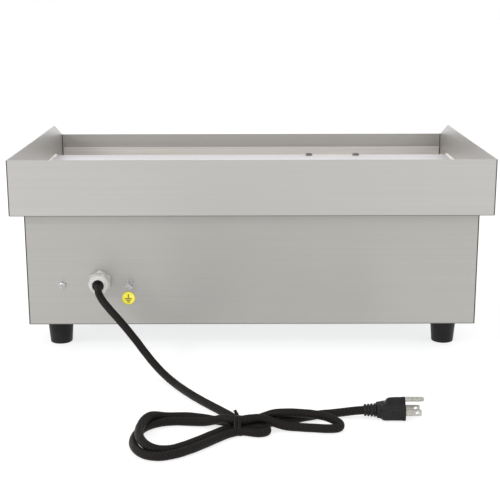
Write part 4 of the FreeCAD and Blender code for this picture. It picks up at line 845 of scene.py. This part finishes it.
def cord_line():
    """The cord's centreline, read from one open spline through all its stretches."""
    points = LEAD_ROUTE + RIGHT_LOOP + LEFT_OUTER_LOOP + FOLD + LEFT_INNER_LOOP + TAIL_ROUTE
    curve = bpy.data.curves.new("cord_line", "CURVE")
    curve.dimensions = "3D"
    curve.resolution_u = 10
    spline = curve.splines.new("NURBS")
    spline.points.add(len(points) - 1)
    for control, (x, behind, z) in zip(spline.points, points):
        control.co = (x, HOOD_BACK + behind, z, 1.0)
    spline.order_u = 3
    spline.use_endpoint_u = True
    holder = link(bpy.data.objects.new("cord_line", curve))
    bpy.context.view_layer.update()
    mesh = bpy.data.meshes.new_from_object(holder.evaluated_get(bpy.context.evaluated_depsgraph_get()))
    line = [v.co.copy() for v in mesh.vertices]
    bpy.data.objects.remove(holder)
    return line


def cord_piece(line):
    """The jacket, slightly lobed where the three twisted cores press through it."""
    sides = 24

    def outline(run):
        twist = 2 * math.pi * run / LAY_PITCH
        points = []
        for j in range(sides):
            angle = 2 * math.pi * j / sides
            r = CORD_R * (0.988 + 0.012 * math.cos(3 * (angle - twist)))
            points.append((r * math.cos(angle), r * math.sin(angle)))
        return points

    cord = swept("mains_cord", line, outline)
    runs = [0.0]
    for before, here in zip(line, line[1:]):
        runs.append(runs[-1] + (here - before).length)
    layer = cord.data.uv_layers.new(name="lay")
    for polygon in cord.data.polygons:
        for loop in polygon.loop_indices:
            row, around = divmod(cord.data.loops[loop].vertex_index, sides)
            if around == 0 and any(cord.data.loops[i].vertex_index % sides == sides - 1
                                   for i in polygon.loop_indices):
                around = sides
            layer.data[loop].uv = (around / sides, runs[row])
    return dress(cord, "cord")


def hull_point(angle, clearance):
    """Point at this angle of a strap pulled tight round the strands, as (y, z)."""
    across, up = math.cos(angle), math.sin(angle)
    reach = max(WAIST, key=lambda strand: strand[0] * across + strand[1] * up)
    size = CORD_R + clearance
    return Vector((0, HOOD_BACK + reach[0] + size * across, reach[1] + size * up))


def tie_piece():
    """A plastic-coated twist tie: two turns pulled tight round the strands, and its twisted end."""
    parts = []
    for number in range(2):
        shift = TIE_X - 0.0017 + 0.0034 * number
        vertices, size, steps = [], 10, 72
        for k in range(steps):
            angle = 2 * math.pi * k / steps
            point = hull_point(angle, 0.0003)
            point.z = max(point.z, 0.0006)
            point.x = shift + 0.0007 * math.sin(angle + number)
            out = Vector((0, math.cos(angle), math.sin(angle)))
            for j in range(size):
                turn = 2 * math.pi * (j + 0.5) / size
                side = Vector((0.0016 * math.copysign(abs(math.cos(turn)) ** 0.5, math.cos(turn)), 0, 0))
                vertices.append(point + side + out * 0.0005 * math.sin(turn))
        parts.append(outward(mesh_piece("tie_wrap", vertices, ring_walls(steps, size, closed=True))))
    root = hull_point(math.radians(115), 0.0006)
    root.x = TIE_X + 0.0004
    turns = [2 * math.pi * j / 10 for j in range(10)]
    flat = [(0.0009 * math.cos(turn), 0.0007 * math.sin(turn)) for turn in turns]
    for phase in (0.0, math.pi):
        strand = []
        for k in range(33):
            share = k / 32
            angle = phase + share * 4 * math.pi
            lean = Vector((0.0030 * share, -0.0022 * share, 0.0042 * share))
            coil = Vector((math.cos(angle), 0.4 * math.cos(angle), math.sin(angle) * 0.6)) * 0.0009
            strand.append(root + lean + coil)
        parts.append(outward(swept("tie_end", strand, lambda run: flat)))
    return dress(joined("hank_tie", parts), "tie")


# ---- plug ----
def plug_outline(half_width, low, high, hump):
    """One cross-section of the plug, as (y, z): a rounded block with the earth pin's hump on top."""
    points, steps = [], 48
    middle, half_height = (low + high) / 2, (high - low) / 2
    for k in range(steps):
        angle = 2 * math.pi * k / steps
        c, s = math.cos(angle), math.sin(angle)
        y = half_width * math.copysign(abs(c) ** 0.36, c)
        z = middle + half_height * math.copysign(abs(s) ** 0.36, s)
        if s > 0 and hump > 0:
            z += hump * math.exp(-abs(y / 0.0053) ** 5)
        points.append((y, z))
    return points


def plug_piece():
    """The moulded plug with its grip ridges."""
    low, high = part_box("plug_body")
    centre_y = (low.y + high.y) / 2
    back, length = high.x, high.x - low.x
    half, top = (high.y - low.y) / 2 - 0.0008, 0.0156
    hump = high.z - top - 0.0002
    # share of the length from the lead's end, share of the half width, bottom, top, share of the hump
    stations = [
        (0, 0.5, 0.0034, 0.0132, 0), (0.01, 0.62, 0.0022, 0.0146, 0), (0.03, 0.665, 0.0017, 0.015, 0),
        (0.1, 0.675, 0.0016, 0.0151, 0), (0.145, 0.69, 0.0015, 0.0152, 0),
        (0.165, 0.8, 0.0011, 0.015, 0), (0.19, 0.9, 0.0007, 0.0147, 0),
        (0.23, 0.955, 0.0004, 0.0148, 0), (0.29, 0.975, 0.0002, 0.015, 0.1),
        (0.325, 0.98, 0.0002, 0.0151, 0.48), (0.36, 0.98, 0.0002, 0.0152, 0.78),
        (0.41, 0.98, 0.0002, 0.0153, 0.93), (0.48, 0.98, 0.0002, 0.0154, 0.985),
        (0.66, 0.98, 0.0002, 0.0155, 1.0), (0.86, 0.99, 0.0002, 0.0156, 1.0),
        (0.885, 0.995, 0.0002, 0.0156, 1.0), (0.9, 1.04, 0.0001, 0.016, 1.0),
        (0.975, 1.05, 0.0001, 0.0161, 1.0), (0.995, 1.03, 0.0002, 0.016, 1.0),
        (1.0, 0.99, 0.0006, 0.0156, 0.97),
    ]
    vertices = []
    for share, width, bottom, roof, rise in stations:
        outline = plug_outline(half * width, bottom, roof, hump * rise)
        vertices += [(back - length * share, centre_y + y, z) for y, z in outline]
    size = len(outline)
    last = (len(stations) - 1) * size
    faces = ring_walls(len(stations), size)
    faces += [tuple(reversed(range(size))), tuple(range(last, last + size))]
    body = outward(mesh_piece("plug_shell", vertices, faces))
    rounded = body.modifiers.new("rounded", "SUBSURF")
    rounded.levels = 1
    rounded.render_levels = 1
    body = plain_mesh(body, "plug_shell")
    ridges = []
    for side in (-1, 1):
        seed = bevelled_bar("grip_seed", (0.0011, 0.0012, 0.0084), 0.00045)
        seed.data.transform(Matrix.Translation((0, centre_y + side * half * 0.975, 0.0078)))
        ridges.append(grown("grip_ridges", seed, ROW_OF_COPIES, {
            "Count": 5, "Start": (back - length * 0.48, 0, 0), "End": (back - length * 0.78, 0, 0),
            "Smallest": 1.0, "Largest": 1.0, "Finish": MATERIALS["plug"]}))
    return dress(joined("mains_plug", [body] + ridges), "plug")


def relief_piece():
    """The ribbed sleeve between the lead and the plug."""
    low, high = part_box("plug_relief")
    centre = Vector((0, (low.y + high.y) / 2, (low.z + high.z) / 2))
    length = high.x - low.x
    wide, slim = 0.0068, 0.0060
    count, steps, gap = 4, 18, 0.22
    thick = length * 0.082
    core = revolved("relief_core", [
        (0.0020, -0.0008), (0.0054, -0.0008), (0.0053, 0.0), (0.0049, length * 0.5),
        (0.0047, length * 0.93),
        (0.0045, length), (0.0020, length)], 48)
    core.data.transform(basis((low.x, centre.y, centre.z), (0, 1, 0), (0, 0, 1)))
    rings = []
    for k in range(count):
        x = low.x + length * (0.10 + 0.255 * k)
        r = wide + (slim - wide) * (k / (count - 1))
        edge = ((r - 0.0016, -thick), (r - 0.0003, -thick), (r, -thick * 0.55), (r, thick * 0.55),
                (r - 0.0003, thick), (r - 0.0016, thick))
        for half_turn in (0, 1):
            start = math.pi / 2 * (k % 2) + math.pi * half_turn + gap
            vertices = []
            for step in range(steps + 1):
                angle = start + (math.pi - 2 * gap) * step / steps
                out = Vector((0, math.cos(angle), math.sin(angle)))
                for radius, along in edge:
                    vertices.append(Vector((x + along, centre.y, centre.z)) + out * radius)
            size = len(edge)
            faces = ring_walls(steps + 1, size)
            faces += [tuple(range(size)), tuple(range(steps * size, (steps + 1) * size))]
            rings.append(shade_by_angle(outward(mesh_piece("relief_rib", vertices, faces)), 40))
    return dress(joined("plug_strain_relief", [outward(core)] + rings), "plug")


# ---- fittings at the back ----
def hexagonal(blend_from, blend_to):
    """Reshapes a circle of unit reach into a hexagon below one height and leaves it round above another."""
    def reach(angle, radius, height):
        share = min(max((height - blend_from) / (blend_to - blend_from), 0.0), 1.0)
        share = share * share * (3 - 2 * share)
        sector = (angle + math.pi / 6) % (math.pi / 3) - math.pi / 6
        flat = radius * math.cos(math.pi / 6) / math.cos(sector)
        rounded = min(flat, radius * 0.985)
        return rounded + (radius * 0.93 - rounded) * share
    return reach


def gland_nut_piece():
    """The gland's domed nut: six flats that run into a round dome with a rolled lip."""
    low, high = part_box("gland_nut")
    centre = ((low.x + high.x) / 2, low.y, (low.z + high.z) / 2)
    tall = high.y - low.y
    half_across_flats = 0.0112
    corner = half_across_flats / math.cos(math.pi / 6)
    profile = [
        (0.0090, 0.0002), (corner * 0.96, 0.0002), (corner, 0.0010), (corner, tall - 0.0088),
        (corner * 0.985, tall - 0.0075), (corner * 0.955, tall - 0.0060), (corner * 0.915, tall - 0.0046),
        (corner * 0.865, tall - 0.0034), (corner * 0.80, tall - 0.0023), (corner * 0.735, tall - 0.0016),
        (corner * 0.705, tall - 0.0018), (corner * 0.685, tall - 0.0012), (corner * 0.655, tall - 0.0003),
        (corner * 0.615, tall), (corner * 0.565, tall - 0.0003), (corner * 0.54, tall - 0.0011),
        (0.0071, tall - 0.0024), (0.0070, tall - 0.0060), (0.0090, tall - 0.0080),
    ]
    nut = revolved("gland_dome_nut", profile, 96, hexagonal(tall - 0.0088, tall - 0.0040),
                   closed_profile=True)
    nut.data.transform(basis(centre, (0, 0, 1), (1, 0, 0)))
    return dress(shade_by_angle(outward(nut), 32), "gland")


def bonding_mark():
    """A raised generic earth mark on the yellow disc: a stem over three bars."""
    y = DISC_HIGH.y
    bars = []
    for width, height, dz in ((0.0016, 0.0050, 0.0024), (0.0082, 0.0014, -0.0006),
                              (0.0056, 0.0014, -0.0026), (0.0028, 0.0014, -0.0046)):
        bar = bevelled_bar("mark_bar", (width, 0.00024, height), 0.00008)
        bar.data.transform(Matrix.Translation((DISC_CENTRE.x, y + 0.00006, DISC_CENTRE.z + dz)))
        bars.append(bar)
    return dress(joined("bonding_mark", bars), "ink_olive")


# ---- seal round the plate ----
def seal_piece():
    """The bead that seals the plate to the splash hood on three sides."""
    low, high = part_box("plate_seal")
    inset = 0.0012
    z = PLATE_TOP - 0.0002
    corner = 0.004
    path = [Vector((low.x + inset, low.y + 0.0016, z))]
    for x, start in ((low.x + inset, 180), (high.x - inset, 90)):
        side = 1 if x > 0 else -1
        for step in range(7):
            angle = math.radians(start - 15 * step)
            path.append(Vector((x - side * corner + corner * math.cos(angle),
                                high.y - inset - corner + corner * math.sin(angle), z)))
    path.append(Vector((high.x - inset, low.y + 0.0016, z)))
    mesh = bpy.data.meshes.new("seal_line")
    mesh.from_pydata([tuple(p) for p in path], [(k, k + 1) for k in range(len(path) - 1)], [])
    seed = link(bpy.data.objects.new("seal_line", mesh))
    bead = grown("plate_seal_bead", seed, LAID_BEAD, {
        "Half Width": 0.0021, "Pitch": 0.004, "Unevenness": 0.35, "Seed": 2.0, "Finish": MATERIALS["seal"]})
    return outward(bead)


# ---- controls ----
KNOB_CENTRE = Vector(((KNOB_LOW.x + KNOB_HIGH.x) / 2, 0, (KNOB_LOW.z + KNOB_HIGH.z) / 2))
FULL_TURN = math.radians(280)
HEATS = (50, 100, 150, 200, 250, 300)
FIRST_HEAT = math.radians(40)
HEAT_STEP = (FULL_TURN - FIRST_HEAT) / (len(HEATS) - 1)


def dial_place(y):
    """Local X is up on the dial and local Z points into the cabinet, so angles run clockwise."""
    return basis((KNOB_CENTRE.x, y, KNOB_CENTRE.z), (0, 0, 1), (1, 0, 0))


def dial_marks():
    """The dial's printed ticks and numbers."""
    dial_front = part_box("dial_plate")[0].y
    marks = []
    for count, radius, length, width, start, step in (
            (25, 0.0246, 0.0020, 0.00035, FIRST_HEAT, (FULL_TURN - FIRST_HEAT) / 24),
            (6, 0.0252, 0.0034, 0.0008, FIRST_HEAT, HEAT_STEP), (1, 0.0252, 0.0034, 0.0008, 0.0, 0.0)):
        seed = bevelled_bar("tick_seed", (length, width, 0.0002), 0.00006, 2)
        marks.append(grown("ticks", seed, RING_OF_COPIES, {
            "Count": count, "Radius": radius, "Start": start, "Step": step,
            "Finish": MATERIALS["ink_black"]}))
    numbers = [("0", 0.0)] + [(str(heat), FIRST_HEAT + HEAT_STEP * k) for k, heat in enumerate(HEATS)]
    flip = Matrix(((0, 1, 0, 0), (1, 0, 0, 0), (0, 0, -1, 0), (0, 0, 0, 1)))
    radius = 0.0296
    for value, angle in numbers:
        text = bpy.data.curves.new("number", "FONT")
        text.body = value
        text.size = 0.0042
        text.extrude = 0.0001
        text.align_x = "CENTER"
        text.align_y = "CENTER"
        number = plain_mesh(link(bpy.data.objects.new("number", text)), "number")
        spot = Matrix.Translation((radius * math.cos(angle), radius * math.sin(angle), 0))
        number.data.transform(spot @ flip)
        number.data.materials.clear()
        number.data.materials.append(MATERIALS["ink_black"])
        marks.append(number)
    ring = joined("dial_marks", marks)
    ring.data.transform(dial_place(dial_front - 0.00006))
    return dress(ring, "ink_black")


def knob_grip():
    """Ribs round the knob's skirt."""
    skirt_r = (KNOB_HIGH.x - KNOB_LOW.x) / 2
    seed = bevelled_bar("rib_seed", (0.0012, 0.0016, 0.0050), 0.0005)
    ribs = grown("knob_ribs", seed, RING_OF_COPIES, {
        "Count": 36, "Radius": skirt_r - 0.0003, "Start": 0.0, "Step": 2 * math.pi / 36,
        "Finish": MATERIALS["knob"]})
    ribs.data.transform(dial_place(KNOB_HIGH.y - 0.0034))
    return ribs


def knob_pointer():
    """The white line on the knob's grip."""
    line = bevelled_bar("knob_pointer", (0.0016, 0.0005, 0.0130), 0.00018)
    line.data.transform(Matrix.Translation((KNOB_CENTRE.x, KNOB_LOW.y, KNOB_CENTRE.z + 0.0115)))
    return dress(line, "ink_white")


def lamp_bezel(node):
    """A bright bezel with a milled edge round one lamp."""
    low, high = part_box(node)
    x, z = (low.x + high.x) / 2, (low.z + high.z) / 2
    rim = (high.x - low.x) / 2
    panel_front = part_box("front_panel")[0].y
    ring = revolved("bezel_ring", [
        (rim + 0.0001, 0.0), (rim + 0.0016, 0.0), (rim + 0.0017, 0.0007), (rim + 0.0011, 0.0019),
        (rim + 0.0004, 0.0024), (rim - 0.0006, 0.0023), (rim - 0.0009, 0.0018), (rim + 0.0001, 0.0016)], 72,
        closed_profile=True)
    seed = bevelled_bar("notch_seed", (0.0005, 0.0006, 0.0008), 0.00015, 2)
    seed.data.transform(Matrix.Translation((0, 0, 0.0007)))
    milled = grown("notches", seed, RING_OF_COPIES, {
        "Count": 40, "Radius": rim + 0.0017, "Start": 0.0, "Step": 2 * math.pi / 40,
        "Finish": MATERIALS["screw"]})
    bezel = joined(node.replace("_lens", "_bezel"), [shade_by_angle(outward(ring)), milled])
    bezel.data.transform(basis((x, panel_front, z), (1, 0, 0), (0, 0, 1)))
    return dress(bezel, "screw")


# ---- stage ----
FLOOR_HALF = 12.0
FLOOR_TONE = 0.36
FLOOR_GLOW = 0.72
# name, place, aim, width, height, power in watts
LIGHTS = (
    ("key", (1.5, 1.6, 1.25), (0.1, 0.2, 0.08), 0.34, 0.34, 15),
    ("fill_back", (-1.6, 2.4, 1.2), (0, 0.1, 0.12), 1.6, 1.2, 5),
    ("top", (0.0, 0.1, 2.4), (0, 0, 0.1), 2.2, 1.6, 9),
    ("key_front", (-1.9, -2.0, 1.5), (0, 0, 0.12), 1.3, 1.3, 4),
    ("fill_front", (1.6, -2.4, 1.2), (0, 0, 0.12), 1.6, 1.2, 3),
)


def make_stage():
    """A pale floor, a sky brighter near the horizon than overhead and white to the camera, and soft lights
    behind and in front.
    """
    scene = bpy.context.scene
    scene.view_settings.view_transform = "Standard"
    scene.view_settings.look = "None"
    corners = [(-FLOOR_HALF, -FLOOR_HALF, 0), (FLOOR_HALF, -FLOOR_HALF, 0), (FLOOR_HALF, FLOOR_HALF, 0),
               (-FLOOR_HALF, FLOOR_HALF, 0)]
    floor = mesh_piece("studio_floor", corners, [(0, 1, 2, 3)])
    material, _, shader, _ = surface("pale_floor", Roughness=0.9)
    shader.inputs["Base Color"].default_value = (FLOOR_TONE, FLOOR_TONE, FLOOR_TONE, 1)
    shader.inputs["Specular IOR Level"].default_value = 0.0
    shader.inputs["Emission Color"].default_value = (1, 1, 1, 1)
    shader.inputs["Emission Strength"].default_value = FLOOR_GLOW
    floor.data.materials.append(material)

    world = bpy.data.worlds.new("studio")
    scene.world = world
    world.use_nodes = True
    graph = Graph(world.node_tree)
    backdrop = world.node_tree.nodes["Background"]
    backdrop.inputs["Color"].default_value = (1, 1, 1, 1)
    seen = graph.node("ShaderNodeLightPath").outputs["Is Camera Ray"]
    towards = graph.node("ShaderNodeTexCoord").outputs["Generated"]
    up = graph.node("ShaderNodeSeparateXYZ", {"Vector": towards})
    low_sky = graph.between(up.outputs["Z"], -0.1, 0.30, 0.90, 1.30)
    high_sky = graph.between(up.outputs["Z"], 0.35, 0.95, 1.30, 0.66)
    strength = graph.math("MAXIMUM", seen, graph.math("MINIMUM", low_sky, high_sky))
    graph.tree.links.new(strength, backdrop.inputs["Strength"])

    for name, place, aim, size_x, size_y, power in LIGHTS:
        data = bpy.data.lights.new(name, "AREA")
        data.shape = "RECTANGLE"
        data.size = size_x
        data.size_y = size_y
        data.energy = power
        light = link(bpy.data.objects.new(name, data))
        light.location = place
        light.rotation_euler = (Vector(aim) - Vector(place)).to_track_quat("-Z", "Y").to_euler()


# ---- build ----
make_camera()
RING_OF_COPIES = ring_of_copies_tree()
ROW_OF_COPIES = row_of_copies_tree()
LAID_BEAD = bead_tree()

paint_cad_nodes()
line = cord_line()
cord = cord_piece(line)
tie = tie_piece()
plug = plug_piece()
relief = relief_piece()
ride(cord, replaces=["cord_lead", "cord_hank", "cord_tail"])
ride(tie, replaces=["cord_tie"])
ride(plug, replaces=["plug_body"])
ride(relief, replaces=["plug_relief"])

ride(gland_nut_piece(), replaces=["gland_nut"])
ride(bonding_mark())
ride(seal_piece(), replaces=["plate_seal"])
ride(dial_marks())
ride(knob_grip(), body="knob")
ride(knob_pointer(), body="knob")
ride(lamp_bezel("power_lamp_lens"))
ride(lamp_bezel("heating_lamp_lens"))
make_stage()
